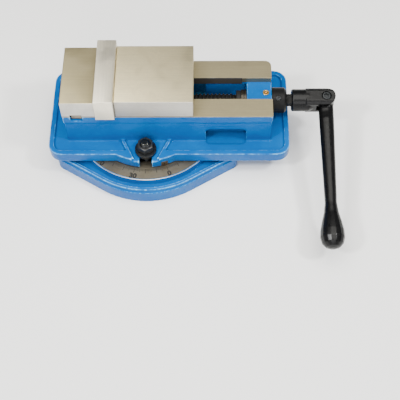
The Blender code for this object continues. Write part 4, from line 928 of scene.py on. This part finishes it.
@dataclass
class SwivelBase:
    """The painted base casting with its machined dial, which stays put while the vise turns on it.

    Attributes:
        dial_radius: Outside radius of the machined dial.
        dial_inner: Inside radius of its ring, outside the T-slot.
        tuck: How far the paint stays below machined faces.
        zero_deg: Where the zero stands, anticlockwise from +X seen from above.
        mark_radius: Where the graduations start.
        mark_width: Width of a graduation.
        mark_lift: How far the wax stands above the dial.
        numeral_radius: Middle of the numerals.
        numeral_height: Their height.
        numeral_bold: How far their strokes are thickened on each side.
        numeral_step: Degrees from one numeral to the next.
    """

    dial_radius: float = 97 * MM
    dial_inner: float = 68.5 * MM
    tuck: float = 0.5 * MM
    zero_deg: float = -70.5
    mark_radius: float = 80.5 * MM
    mark_width: float = 0.48 * MM
    mark_lift: float = 0.03 * MM
    numeral_radius: float = 92.0 * MM
    numeral_height: float = 6.8 * MM
    numeral_bold: float = 0.52 * MM
    numeral_step: int = 30
    top: float = field(init=False)

    def __post_init__(self) -> None:
        """Reads the dial's height from the frame."""
        self.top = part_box("swivel_base")[1].z

    def build(self) -> None:
        """Builds the casting, the dial, its marks and the pivot pin."""
        self.casting()
        self.dial()
        self.graduations()
        self.numerals()
        pin = eased(copied("pivot_pin", "pivot_pin_turned"), 0.3 * MM)
        install(pin, Body.BASE, PIN_STEEL, ["pivot_pin"])

    def casting(self) -> None:
        """The base casting, drawn back a little where the machined dial lies over it."""
        piece = copied("swivel_base", "base_casting")
        wall = self.dial_radius - 0.3 * MM
        for vertex in piece.data.vertices:
            reach = math.hypot(vertex.co.x, vertex.co.y)
            if vertex.co.z > self.top - self.tuck:
                vertex.co.z = self.top - self.tuck
            if vertex.co.z > self.top * 0.6 and abs(reach - self.dial_radius) < 1 * MM:
                vertex.co.x *= wall / reach
                vertex.co.y *= wall / reach
        cast(piece, 0.85 * MM, 5, 0.35)
        install(piece, Body.BASE, ENAMEL, ["swivel_base"])

    def dial(self) -> None:
        """The machined ring: a flat top, a fine groove and a chamfer. The chamfer's much lighter iron paints
        a highlight, and the groove's black wax paints a line of shade. The paint starts below.
        """
        chamfer = 0.55 * MM
        groove = 0.9 * MM
        foot = self.top - 1.6 * MM
        profile = [
            (self.dial_inner, foot),
            (self.dial_radius, foot),
            (self.dial_radius, self.top - chamfer),
            (self.dial_radius - chamfer, self.top),
            (self.dial_radius - chamfer - 0.1 * MM, self.top - groove),
            (self.dial_radius - chamfer - groove, self.top - groove),
            (self.dial_radius - chamfer - groove - 0.1 * MM, self.top),
            (self.dial_inner, self.top),
        ]
        ring = eased(turned("dial_ring", profile, steps=180, ring=True), 0.12 * MM, 2)
        install(ring, Body.BASE, DIAL_IRON)
        ring.data.materials.append(CHAMFER_PAINTED_HIGHLIGHT.material())
        ring.data.materials.append(WAX.material())
        # The chamfer and outer wall take the lighter iron, a painted highlight; the groove takes black wax,
        # painted shade.
        for face in ring.data.polygons:
            reach = self.dial_radius - chamfer - math.hypot(face.center.x, face.center.y)
            if reach < 0:
                face.material_index = 1
            elif reach < groove + 0.2 * MM and face.center.z > foot:
                face.material_index = 2

    def graduations(self) -> None:
        """One mark a degree, longer at every fifth and longest at every tenth."""
        bm = bmesh.new()
        for degree in range(360):
            length = 6.4 * MM if degree % 10 == 0 else 4.8 * MM if degree % 5 == 0 else 3.4 * MM
            width = self.mark_width * (1.6 if degree % 10 == 0 else 1.0)
            made = bmesh.ops.create_cube(bm, size=1.0)["verts"]
            size = Matrix.Diagonal((length, width, 2 * self.mark_lift, 1.0))
            start = Matrix.Translation((self.mark_radius + length / 2, 0, self.top))
            turn = Matrix.Rotation(math.radians(self.zero_deg - degree), 4, "Z")
            bmesh.ops.transform(bm, matrix=turn @ start @ size, verts=made)
        install(linked("dial_graduations", bm), Body.BASE, WAX)

    def numerals(self) -> None:
        """Plain numerals that count clockwise, with their feet outwards."""
        for value in range(0, 360, self.numeral_step):
            curve = bpy.data.curves.new(f"numeral_{value}", "FONT")
            curve.body = str(value)
            curve.size = self.numeral_height / 0.7
            curve.align_x = "CENTER"
            curve.align_y = "CENTER"
            curve.extrude = self.mark_lift
            curve.offset = self.numeral_bold
            text = bpy.data.objects.new(f"numeral_{value}", curve)
            bpy.context.scene.collection.objects.link(text)
            bpy.context.view_layer.update()
            graph = bpy.context.evaluated_depsgraph_get()
            mesh = bpy.data.meshes.new_from_object(text.evaluated_get(graph))
            bpy.data.objects.remove(text)
            angle = math.radians(self.zero_deg - value)
            place = Matrix.Rotation(angle, 4, "Z") @ Matrix.Translation((self.numeral_radius, 0, self.top))
            mesh.transform(place @ Matrix.Rotation(math.pi / 2, 4, "Z"))
            piece = bpy.data.objects.new(f"dial_numeral_{value}", mesh)
            bpy.context.scene.collection.objects.link(piece)
            install(piece, Body.BASE, WAX)


@dataclass
class BedCasting:
    """The bed: a painted casting with ground rail tops, bare inner rail faces and a witness mark.

    Attributes:
        tuck: How far the paint stays below the ground rails.
        cap: Depth of the ground metal that shows at the rails' tops.
        gap: Distance between the rails.
        liner: Thickness of the bare inner faces.
        rail_depth: Height of a rail's inner face.
        far_corner: Radius of the far rail's end corner.
        near_corner: Radius of the other rail corners.
        lug_radius: Outside radius of the clamp lugs.
        witness_deg: Where the witness mark stands, anticlockwise from +X.
        window_length: From the support to the chip windows' far ends, where the light in the cavity ends.
    """

    tuck: float = 0.4 * MM
    cap: float = 1.0 * MM
    gap: float = 34 * MM
    liner: float = 0.35 * MM
    rail_depth: float = 12.6 * MM
    far_corner: float = 8 * MM
    near_corner: float = 2.5 * MM
    lug_radius: float = 78.5 * MM
    witness_deg: float = -72.0
    window_length: float = 53 * MM
    low: Vector = field(init=False)
    high: Vector = field(init=False)
    body_left: float = field(init=False)
    body_right: float = field(init=False)
    body_half: float = field(init=False)
    support_left: float = field(init=False)

    def __post_init__(self) -> None:
        """Reads the bed's places from the frame's nodes."""
        self.low, self.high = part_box("bed")
        self.body_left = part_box("fixed_jaw")[0].x
        self.body_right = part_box("retaining_collar")[0].x - 0.4 * MM
        self.body_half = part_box("fixed_jaw")[1].y
        self.support_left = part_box("thrust_race_bed")[1].x + 0.4 * MM

    def build(self) -> None:
        """Builds the casting and its machined faces."""
        self.casting()
        self.rail_tops()
        self.inner_faces()
        self.witness()
        self.cross_key()

    def casting(self) -> None:
        """The painted casting, drawn down a little below the ground rail tops."""
        piece = copied("bed", "bed_casting")
        for vertex in piece.data.vertices:
            if vertex.co.z > self.high.z - self.tuck:
                vertex.co.z = self.high.z - self.tuck
        cast(piece, 0.95 * MM, 6, 0.45)
        install(piece, Body.VISE, ENAMEL, ["bed"])
        # Painted light: the cavity's faces left of the chip windows take the greyer, lighter copy of the
        # enamel.
        piece.data.materials.append(CAVITY_LIGHT_ENAMEL.material())
        left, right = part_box("lead_screw")[0].x - 12 * MM, self.support_left - self.window_length
        half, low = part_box("drive_nut")[1].y + 7 * MM, self.low.z + 11 * MM
        for face in piece.data.polygons:
            spot = face.center
            if left < spot.x < right and abs(spot.y) < half and spot.z > low:
                face.material_index = 1

    def rail_tops(self) -> None:
        """The ground tops of both rails and of the seat under the fixed jaw."""
        half, inner = self.body_half, self.gap / 2
        left, right = self.body_left, self.body_right
        back = arc((right - self.far_corner, half - self.far_corner), self.far_corner, 0, math.pi / 2, 8)
        front = arc(
            (right - self.near_corner, -half + self.near_corner), self.near_corner, -math.pi / 2, 0, 4
        )
        outlines = {
            "rail_top_back": [(left, inner), (right, inner), *back, (left, half)],
            "rail_top_front": [(left, -half), *front, (right, -inner), (left, -inner)],
            "rail_seat": rectangle(left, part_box("lead_screw")[0].x - 10 * MM, -inner - 1 * MM,
                inner + 1 * MM),
        }
        for name, outline in outlines.items():
            top = self.high.z - (0.02 * MM if name == "rail_seat" else 0)
            piece = prism(name, outline, self.high.z - self.cap, top)
            if name != "rail_seat":
                slot_left = self.body_left + 10.1 * MM
                slot = prism("key_slot", rectangle(slot_left, slot_left + 14.8 * MM, -1, 1), 0, 1)
                carved(piece, [slot])
            install(eased(piece, 0.22 * MM, 2), Body.VISE, RAIL_GROUND)

    def inner_faces(self) -> None:
        """The rails' inner faces: bare iron, dark along the cavity and lighter ground iron above the screw
        support.
        """
        low = self.high.z - self.rail_depth + 0.6 * MM
        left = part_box("lead_screw")[0].x - 9 * MM
        for side in Side:
            wall = side.value * self.gap / 2
            near, far = sorted((wall, wall - side.value * self.liner))
            outline = rectangle(near, far, low, self.high.z - self.cap)
            piece = prism(f"rail_inner_face_{side.label}", outline, left, self.support_left - 6 * MM, Axis.X)
            install(eased(piece, 0.1 * MM, 2), Body.VISE, DARK_BARE_IRON)
            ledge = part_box("oil_cup")[1].z - 0.4 * MM
            outline = rectangle(near, far, ledge, self.high.z - self.cap)
            piece = prism(f"rail_end_face_{side.label}", outline, self.support_left - 6 * MM,
                          self.body_right - 0.5 * MM, Axis.X)
            install(eased(piece, 0.1 * MM, 2), Body.VISE, RAIL_GROUND)

    def witness(self) -> None:
        """The filed pad on the front lug, with the line that the dial is read against."""
        turn = Matrix.Rotation(math.radians(self.witness_deg), 4, "Z")
        low = self.low.z + 0.6 * MM
        pad = prism("witness_pad", rectangle(-4.5 * MM, 4.5 * MM, low, low + 8.5 * MM),
            self.lug_radius - 1 * MM,
                    self.lug_radius + 0.35 * MM, Axis.X)
        pad.data.transform(turn)
        install(eased(pad, 0.2 * MM, 2), Body.VISE, PAD_IRON)
        line = prism("witness_line", rectangle(-0.25 * MM, 0.25 * MM, low + 0.3 * MM, low + 6 * MM),
                     self.lug_radius, self.lug_radius + 0.42 * MM, Axis.X)
        line.data.transform(turn)
        install(line, Body.VISE, WAX)

    def cross_key(self) -> None:
        """The key between bed and fixed jaw."""
        install(eased(copied("cross_key", "cross_key_ground"), 0.25 * MM, 2), Body.VISE, KEY_GROUND,
            ["cross_key"])


@dataclass
class SwivelClamp:
    """A T-bolt, washer and hex nut that lock the swivel on one side.

    Attributes:
        side: Which side of the vise it is on.
        thread_depth: Depth of the bolt's M12 thread.
        pitch: Its pitch.
        flats: The nut's width across flats.
    """

    side: Side
    thread_depth: float = 0.9 * MM
    pitch: float = 1.75 * MM
    flats: float = 19 * MM

    def build(self) -> None:
        """Builds the bolt, washer and nut."""
        label = self.side.label
        bolt, washer, nut = f"{label}_swivel_bolt", f"{label}_washer", f"{label}_nut"
        bodies = {
            Side.FRONT: (Body.FRONT_WASHER, Body.FRONT_NUT),
            Side.BACK: (Body.BACK_WASHER, Body.BACK_NUT),
        }
        washer_body, nut_body = bodies[self.side]
        install(self.bolt(bolt), Body.VISE, OXIDE, [bolt])
        install(self.washer(washer), washer_body, OXIDE, [washer])
        install(self.nut(nut), nut_body, OXIDE, [nut])

    def bolt(self, node: str) -> bpy.types.Object:
        """The square-headed T-bolt with its thread and chamfered end."""
        low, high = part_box(node)
        centre = middle(node)
        head_top = low.z + 8 * MM
        radius = 6 * MM
        head = prism(f"{node}_threaded", rectangle(low.x, high.x, low.y, high.y), low.z, head_top)
        end = high.z - 1.0 * MM
        rod = screwed("rod", radius, self.thread_depth, self.pitch, head_top - 2 * MM, end, Axis.Z,
                      (centre.x, centre.y, 0))
        tip = turned(
            f"{node}_tip",
            [(0, end - 1 * MM), (radius - self.thread_depth - 0.05 * MM, end - 1 * MM),
             (radius - self.thread_depth - 0.05 * MM, high.z - 0.4 * MM), (radius - 1.6 * MM, high.z),
             (0, high.z)],
            at=(centre.x, centre.y, 0),
        )
        eased(head, 0.8 * MM)
        install(eased(tip, 0.15 * MM, 2), Body.VISE, WORN_OXIDE)
        return joined(head, [rod])

    def washer(self, node: str) -> bpy.types.Object:
        """The thick flat washer."""
        low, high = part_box(node)
        centre = middle(node)
        outer = (high.x - low.x) / 2
        profile = [(6.5 * MM, low.z), (outer, low.z), (outer, high.z), (6.5 * MM, high.z)]
        piece = turned(f"{node}_pressed", profile, at=(centre.x, centre.y, 0), ring=True)
        return eased(piece, 0.45 * MM)

    def nut(self, node: str) -> bpy.types.Object:
        """The hex nut, chamfered above and below, with a countersunk thread."""
        low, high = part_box(node)
        centre = middle(node)
        piece = prism(f"{node}_chamfered", hexagon(self.flats), low.z, high.z)
        corner = self.flats / math.sqrt(3)
        drop = (corner - self.flats / 2 * 0.96) * math.tan(math.radians(30))
        crown = [
            (0, low.z), (self.flats / 2 * 0.96, low.z), (corner, low.z + drop), (corner, high.z - drop),
            (self.flats / 2 * 0.96, high.z), (0, high.z),
        ]
        cone = turned("crown", crown, steps=96)
        shape = piece.modifiers.new("crown", "BOOLEAN")
        shape.operation = "INTERSECT"
        shape.object = cone
        settled(piece)
        bpy.data.objects.remove(cone)
        sink = 0.9 * MM
        bore = 6.35 * MM
        hole = [
            (0, low.z - sink), (bore + 2 * sink, low.z - sink), (bore, low.z + sink), (bore, high.z - sink),
            (bore + 2 * sink, high.z + sink), (0, high.z + sink),
        ]
        carved(piece, [turned("hole", hole, steps=48)])
        piece.data.transform(Matrix.Translation((centre.x, centre.y, 0)))
        return eased(piece, 0.2 * MM, 2)


def joined(piece: bpy.types.Object, others: Sequence[bpy.types.Object]) -> bpy.types.Object:
    """Puts other meshes into a piece's own mesh, without cutting them, and removes them."""
    bm = bmesh.new()
    bm.from_mesh(piece.data)
    for other in others:
        bm.from_mesh(other.data)
        bpy.data.objects.remove(other)
    bm.to_mesh(piece.data)
    bm.free()
    piece.data.shade_smooth()
    piece.data.set_sharp_from_angle(angle=math.radians(35))
    return piece


@dataclass
class Jaws:
    """The fixed and movable jaws with their hardened plates and socket screws.

    Attributes:
        edge: The rub that breaks the ground blocks' edges.
        closing: How much nearer each plate's face comes to the other's, so that the closed jaws just part.
        corner: Nearer than this to the outline, a point of that face belongs to its chamfer.
        closed_edge: What is left of the chamfer there.
    """

    edge: float = 0.25 * MM
    closing: float = 0.235 * MM
    corner: float = 0.7 * MM
    closed_edge: float = 0.03 * MM

    def build(self) -> None:
        """Builds both jaws."""
        fixed = eased(copied("fixed_jaw", "fixed_jaw_ground"), self.edge, 2)
        install(fixed, Body.VISE, FIXED_PAINTED_LIGHT, ["fixed_jaw"])
        self.ground_sides(fixed, FIXED_SIDE_PAINTED_LIGHT)
        movable = eased(copied("movable_jaw", "movable_jaw_ground"), self.edge, 2)
        install(movable, Body.JAW, JAW_PAINTED_LIGHT, ["movable_jaw"])
        self.ground_sides(movable, JAW_SIDE_PAINTED_LIGHT)
        for owner, body in (("fixed", Body.VISE), ("movable", Body.JAW)):
            self.plate(owner, body)
        for side in Side:
            self.screw(f"fixed_jaw_bolt_{side.label}", Body.VISE)
        self.screw("jaw_adjusting_screw", Body.JAW)
        ball = copied("half_ball", "half_ball_polished")
        ball.data.shade_smooth()
        ball.data.set_sharp_from_angle(angle=math.radians(40))
        install(ball, Body.JAW, BEARING, ["half_ball"])

    def ground_sides(self, jaw: bpy.types.Object, finish: Finish) -> None:
        """Gives a jaw's front and back another colour of its ground steel, which paints the light that falls
        on them.

        Args:
            jaw: The jaw.
            finish: Their finish.
        """
        jaw.data.materials.append(finish.material())
        for face in jaw.data.polygons:
            if abs(face.normal.y) > 0.7:
                face.material_index = 1

    def plate(self, owner: str, body: Body) -> None:
        """One jaw plate and its two screws.

        Args:
            owner: Which jaw it is on, as the nodes spell it.
            body: What it moves with.
        """
        node = f"{owner}_jaw_plate"
        piece = copied(node, f"{node}_ground")
        low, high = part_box(node)
        face = high.x if owner == "fixed" else low.x
        for vertex in piece.data.vertices:
            spot = vertex.co
            if abs(spot.x - face) < 0.1 * MM:
                spot.x += (1 if owner == "fixed" else -1) * self.closing
                for axis in (1, 2):
                    if high[axis] - spot[axis] < self.corner:
                        spot[axis] = high[axis] - self.closed_edge
                    if spot[axis] - low[axis] < self.corner:
                        spot[axis] = low[axis] + self.closed_edge
        install(eased(piece, 0.06 * MM, 2), body, PLATE_GROUND, [node])
        for side in Side:
            self.screw(f"{owner}_plate_screw_{side.label}", body)

    def screw(self, node: str, body: Body) -> None:
        """One socket screw."""
        install(eased(copied(node, f"{node}_finished"), 0.15 * MM, 2), body, OXIDE, [node])


@dataclass
class DriveTrain:
    """The lead screw with its thrust bearing, collar and bronze nut.

    Attributes:
        thread_depth: Depth of the trapezoidal thread.
        lead: Travel of the jaw for one turn.
        radius: The thread's outside radius.
        shoulder_radius: Radius of the thrust shoulder.
        journal_radius: Radius of the journal in the bed.
        rollers: How many needles the thrust bearing has.
        hex_turn: How far the drive hex is turned, which is the handle's droop.
    """

    thread_depth: float = 1.6 * MM
    lead: float = 5 * MM
    radius: float = 9 * MM
    shoulder_radius: float = 13 * MM
    journal_radius: float = 9.8 * MM
    rollers: int = 20
    hex_turn: float = math.radians(10)

    def build(self) -> None:
        """Builds the screw, bearing, collar and nut."""
        self.screw()
        self.bearing()
        self.collar()
        install(eased(copied("drive_nut", "drive_nut_machined"), 0.3 * MM, 2), Body.JAW, BRONZE,
            ["drive_nut"])

    def screw(self) -> None:
        """The lead screw: left-hand thread, thrust shoulder, journal and drive hex."""
        low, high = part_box("lead_screw")
        centre = middle("lead_screw")
        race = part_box("thrust_race_screw")[0].x
        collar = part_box("retaining_collar")[1].x
        at = (0.0, centre.y, centre.z)
        shoulder = race - 0.4 * MM
        rod = screwed("lead_screw_threaded", self.radius, self.thread_depth, self.lead, low.x,
            shoulder - 7.5 * MM,
                      Axis.X, at, left_hand=True)
        core = self.radius - self.thread_depth
        edge = 0.4 * MM
        profile = [
            (0, shoulder - 12 * MM),
            (core, shoulder - 12 * MM),
            (core, shoulder - 6 * MM),
            (self.shoulder_radius - edge, shoulder - 6 * MM),
            (self.shoulder_radius, shoulder - 6 * MM + edge),
            (self.shoulder_radius, shoulder - edge),
            (self.shoulder_radius - edge, shoulder),
            (self.journal_radius, shoulder),
            (self.journal_radius, collar - edge),
            (self.journal_radius - edge, collar),
            (0, collar),
        ]
        journal = turned("journal", profile, Axis.X, at)
        drive = prism("drive", hexagon(14 * MM, self.hex_turn), collar - 1 * MM, high.x, Axis.X)
        tip = turned(
            "drive_tip",
            [(0, collar - 2 * MM), (9 * MM, collar - 2 * MM), (9 * MM, high.x - 1.6 * MM), (6.6 * MM, high.x),
             (0, high.x)],
            Axis.X,
        )
        shape = drive.modifiers.new("tip", "BOOLEAN")
        shape.operation = "INTERSECT"
        shape.object = tip
        settled(drive)
        bpy.data.objects.remove(tip)
        drive.data.transform(Matrix.Translation(at))
        eased(drive, 0.25 * MM, 2)
        install(joined(rod, [journal, drive]), Body.SCREW, DULL_OXIDE, ["lead_screw"])

    def bearing(self) -> None:
        """The two races, and the cage with its needles, in a dark copy of the bearing steel."""
        for node, body in (("thrust_race_screw", Body.SCREW), ("thrust_race_bed", Body.VISE)):
            low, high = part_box(node)
            centre = middle(node)
            outer = (high.y - low.y) / 2
            inner = self.journal_radius + 0.4 * MM
            profile = [(inner, low.x), (outer, low.x), (outer, high.x), (inner, high.x)]
            piece = turned(f"{node}_lapped", profile, Axis.X, (0, centre.y, centre.z), ring=True)
            install(eased(piece, 0.2 * MM, 2), body, DARK_BEARING_STEEL, [node])
        low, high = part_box("roller_cage")
        centre = middle("roller_cage")
        outer, inner = (high.y - low.y) / 2, self.journal_radius + 0.4 * MM
        thin = (high.x - low.x) * 0.28
        profile = [(inner, centre.x - thin), (outer, centre.x - thin), (outer, centre.x + thin),
                   (inner, centre.x + thin)]
        at = (0, centre.y, centre.z)
        cage = turned("roller_cage_pressed", profile, Axis.X, at, ring=True)
        needles = []
        for i in range(self.rollers):
            radius = (high.x - low.x) / 2
            needle = turned(f"needle_{i}", [(0, inner + 0.4 * MM), (radius, inner + 0.4 * MM),
                                            (radius, outer - 0.5 * MM), (0, outer - 0.5 * MM)], Axis.Z,
                                            steps=16)
            turn = Matrix.Rotation(2 * math.pi * i / self.rollers, 4, "X")
            needle.data.transform(Matrix.Translation((centre.x, centre.y, centre.z)) @ turn)
            needles.append(needle)
        install(joined(cage, needles), Body.ROLLER_CAGE, DARK_BEARING_STEEL, ["roller_cage"])

    def collar(self) -> None:
        """The retaining collar with its chamfered outer end, and its set screw."""
        low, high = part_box("retaining_collar")
        centre = middle("retaining_collar")
        outer, inner = (high.y - low.y) / 2, self.journal_radius + 0.4 * MM
        step = 3 * MM
        profile = [
            (inner, low.x), (outer, low.x), (outer, high.x - step), (outer - step, high.x), (inner, high.x),
        ]
        at = (0, centre.y, centre.z)
        collar = turned("retaining_collar_turned", profile, Axis.X, at, ring=True)
        hole_low, hole_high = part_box("collar_set_screw")
        mouth = (hole_low + hole_high) / 2
        aim = Vector((0, mouth.y - centre.y, mouth.z - centre.z)).normalized()
        hole = turned("hole", [(0, 0), (3.4 * MM, 0), (3.4 * MM, outer), (0, outer)], steps=32)
        hole.data.transform(
            Matrix.Translation((mouth.x, centre.y, centre.z))
            @ aim.to_track_quat("Z", "Y").to_matrix().to_4x4()
            @ Matrix.Translation((0, 0, inner - 1 * MM))
        )
        carved(collar, [hole])
        install(eased(collar, 0.35 * MM), Body.SCREW, DULL_OXIDE, ["retaining_collar"])
        screw = eased(copied("collar_set_screw", "collar_set_screw_finished"), 0.15 * MM, 2)
        install(screw, Body.SCREW, OXIDE, ["collar_set_screw"])


@dataclass
class OilCup:
    """The brass oil cup on the screw support, with its sprung ball."""

    def build(self) -> None:
        """Builds the cup and the ball."""
        low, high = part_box("oil_cup")
        centre = middle("oil_cup")
        outer = (high.x - low.x) / 2
        flange = high.z - 1.0 * MM
        bore = 1.9 * MM
        profile = [
            (0, low.z), (3 * MM, low.z), (3 * MM, flange), (outer, flange), (outer, high.z - 0.35 * MM),
            (outer - 0.4 * MM, high.z), (bore + 0.5 * MM, high.z), (bore, high.z - 0.5 * MM),
            (bore, low.z + 1.2 * MM), (0, low.z + 1.2 * MM),
        ]
        cup = eased(turned("oil_cup_turned", profile, at=(centre.x, centre.y, 0), steps=48), 0.08 * MM, 2)
        install(cup, Body.VISE, BRASS, ["oil_cup"])
        low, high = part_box("oil_cup_ball")
        bm = bmesh.new()
        bmesh.ops.create_uvsphere(bm, u_segments=32, v_segments=20, radius=(high.z - low.z) / 2)
        bm.transform(Matrix.Translation((low + high) / 2))
        ball = linked("oil_cup_ball_polished", bm)
        ball.data.shade_smooth()
        install(ball, Body.OIL_CUP_BALL, COPPERED, ["oil_cup_ball"])


@dataclass
class CrankHandle:
    """The crank handle: a forged socket on the screw's hex, and an arm that folds on its pin."""

    def build(self) -> None:
        """Builds the socket, the pin and the arm."""
        socket = copied("handle_socket", "handle_socket_forged")
        cast(socket, 0.5 * MM, 4, 0.5)
        install(socket, Body.HANDLE, LACQUER, ["handle_socket"])
        pin = eased(copied("handle_pivot_screw", "handle_pivot_screw_finished"), 0.2 * MM, 2)
        install(pin, Body.HANDLE, OXIDE, ["handle_pivot_screw"])
        arm = copied("handle_arm", "handle_arm_forged")
        cast(arm, 0.7 * MM, 8, 0.4)
        install(arm, Body.HANDLE_ARM, LACQUER, ["handle_arm"])


# Studio


@dataclass
class Studio:
    """A pale sweep, soft lights and the camera, which stands above the operator's side.

    Attributes:
        elevation_deg: Height of the view above the horizontal.
        azimuth_deg: Turn of the view about +Z.
        roll_deg: Lean of the camera.
        distance: From the camera to the plane through the origin.
        shift_right: How far the camera stands to the right of the line through the origin.
        shift_up: How far it stands above that line.
        focal_mm: The lens, on a 36 mm wide film.
    """

    elevation_deg: float = 59.5
    azimuth_deg: float = 1.27
    roll_deg: float = -1.15
    distance: float = 1210.1 * MM
    shift_right: float = 69.5 * MM
    shift_up: float = -92.7 * MM
    focal_mm: float = 79.02

    def build(self) -> None:
        """Sets up the floor, the lights, the sky and the camera."""
        self.floor()
        self.sky()
        self.softbox("overhead", (0.05, -0.15, 1.75), 1.7, 49, "#fffdf6")
        self.softbox("front", (0.0, -1.75, 0.95), 1.2, 22, "#ffffff")
        self.softbox("left_spot", (-0.8, -0.75, 1.5), 0.2, 24, "#ffffff")
        self.softbox("right_spot", (0.95, -0.35, 1.4), 0.2, 18, "#ffffff")
        self.camera()

    def floor(self) -> None:
        """The paper sweep that the vise stands on."""
        bm = bmesh.new()
        bmesh.ops.create_grid(bm, x_segments=8, y_segments=8, size=6.0)
        sweep = linked("paper_sweep", bm)
        sweep.location.z = CAD_BOUNDS[0][2]
        sweep.data.materials.append(PaleFloor("pale_paper", Slot.ENAMEL, "#f4f4f3", 0.9,
            metallic=0.0).material())

    def sky(self) -> None:
        """Even white light from all round."""
        world = bpy.data.worlds.new("studio_sky")
        world.use_nodes = True
        background = world.node_tree.nodes["Background"]
        background.inputs["Color"].default_value = linear("#ffffff")
        background.inputs["Strength"].default_value = 0.30
        bpy.context.scene.world = world

    def softbox(self, name: str, place: Sequence[float], size: float, watts: float, colour: str) -> None:
        """One square area light that looks at the vise.

        Args:
            name: The light's name.
            place: Where it stands.
            size: Its side.
            watts: Its power.
            colour: Its colour, sRGB hex.
        """
        light = bpy.data.lights.new(name, "AREA")
        light.shape = "SQUARE"
        light.size = size
        light.energy = watts
        light.color = linear(colour)[:3]
        lamp = bpy.data.objects.new(name, light)
        lamp.location = place
        aim = Vector((0.04, 0, 0.05)) - Vector(place)
        lamp.rotation_euler = aim.to_track_quat("-Z", "Y").to_euler()
        bpy.context.scene.collection.objects.link(lamp)

    def camera(self) -> None:
        """The camera, level with the vise's long side apart from a slight lean."""
        rise, turn, lean = (math.radians(a) for a in (self.elevation_deg, self.azimuth_deg, self.roll_deg))
        back = Vector((math.sin(turn) * math.cos(rise), -math.cos(turn) * math.cos(rise), math.sin(rise)))
        level = Vector((math.cos(turn), math.sin(turn), 0))
        upright = back.cross(level)
        right = math.cos(lean) * level + math.sin(lean) * upright
        up = -math.sin(lean) * level + math.cos(lean) * upright
        data = bpy.data.cameras.new("view")
        data.lens = self.focal_mm
        data.sensor_width = 36.0
        data.clip_start = 0.05
        view = bpy.data.objects.new("view", data)
        place = Matrix.Identity(4)
        for column, axis in enumerate((right, up, back)):
            place.col[column].xyz = axis
        place.translation = self.distance * back + self.shift_right * right + self.shift_up * up
        view.matrix_world = place
        bpy.context.scene.collection.objects.link(view)
        bpy.context.scene.camera = view


def main() -> None:
    """Builds the vise from the ground up, then the studio round it."""
    logging.basicConfig(level=logging.INFO, format="%(message)s")
    assemblies = [
        SwivelBase(),
        BedCasting(),
        SwivelClamp(Side.FRONT),
        SwivelClamp(Side.BACK),
        Jaws(),
        DriveTrain(),
        OilCup(),
        CrankHandle(),
        Studio(),
    ]
    for assembly in assemblies:
        assembly.build()
        LOG.info("%s is done", type(assembly).__name__)


if __name__ == "__main__":
    main()
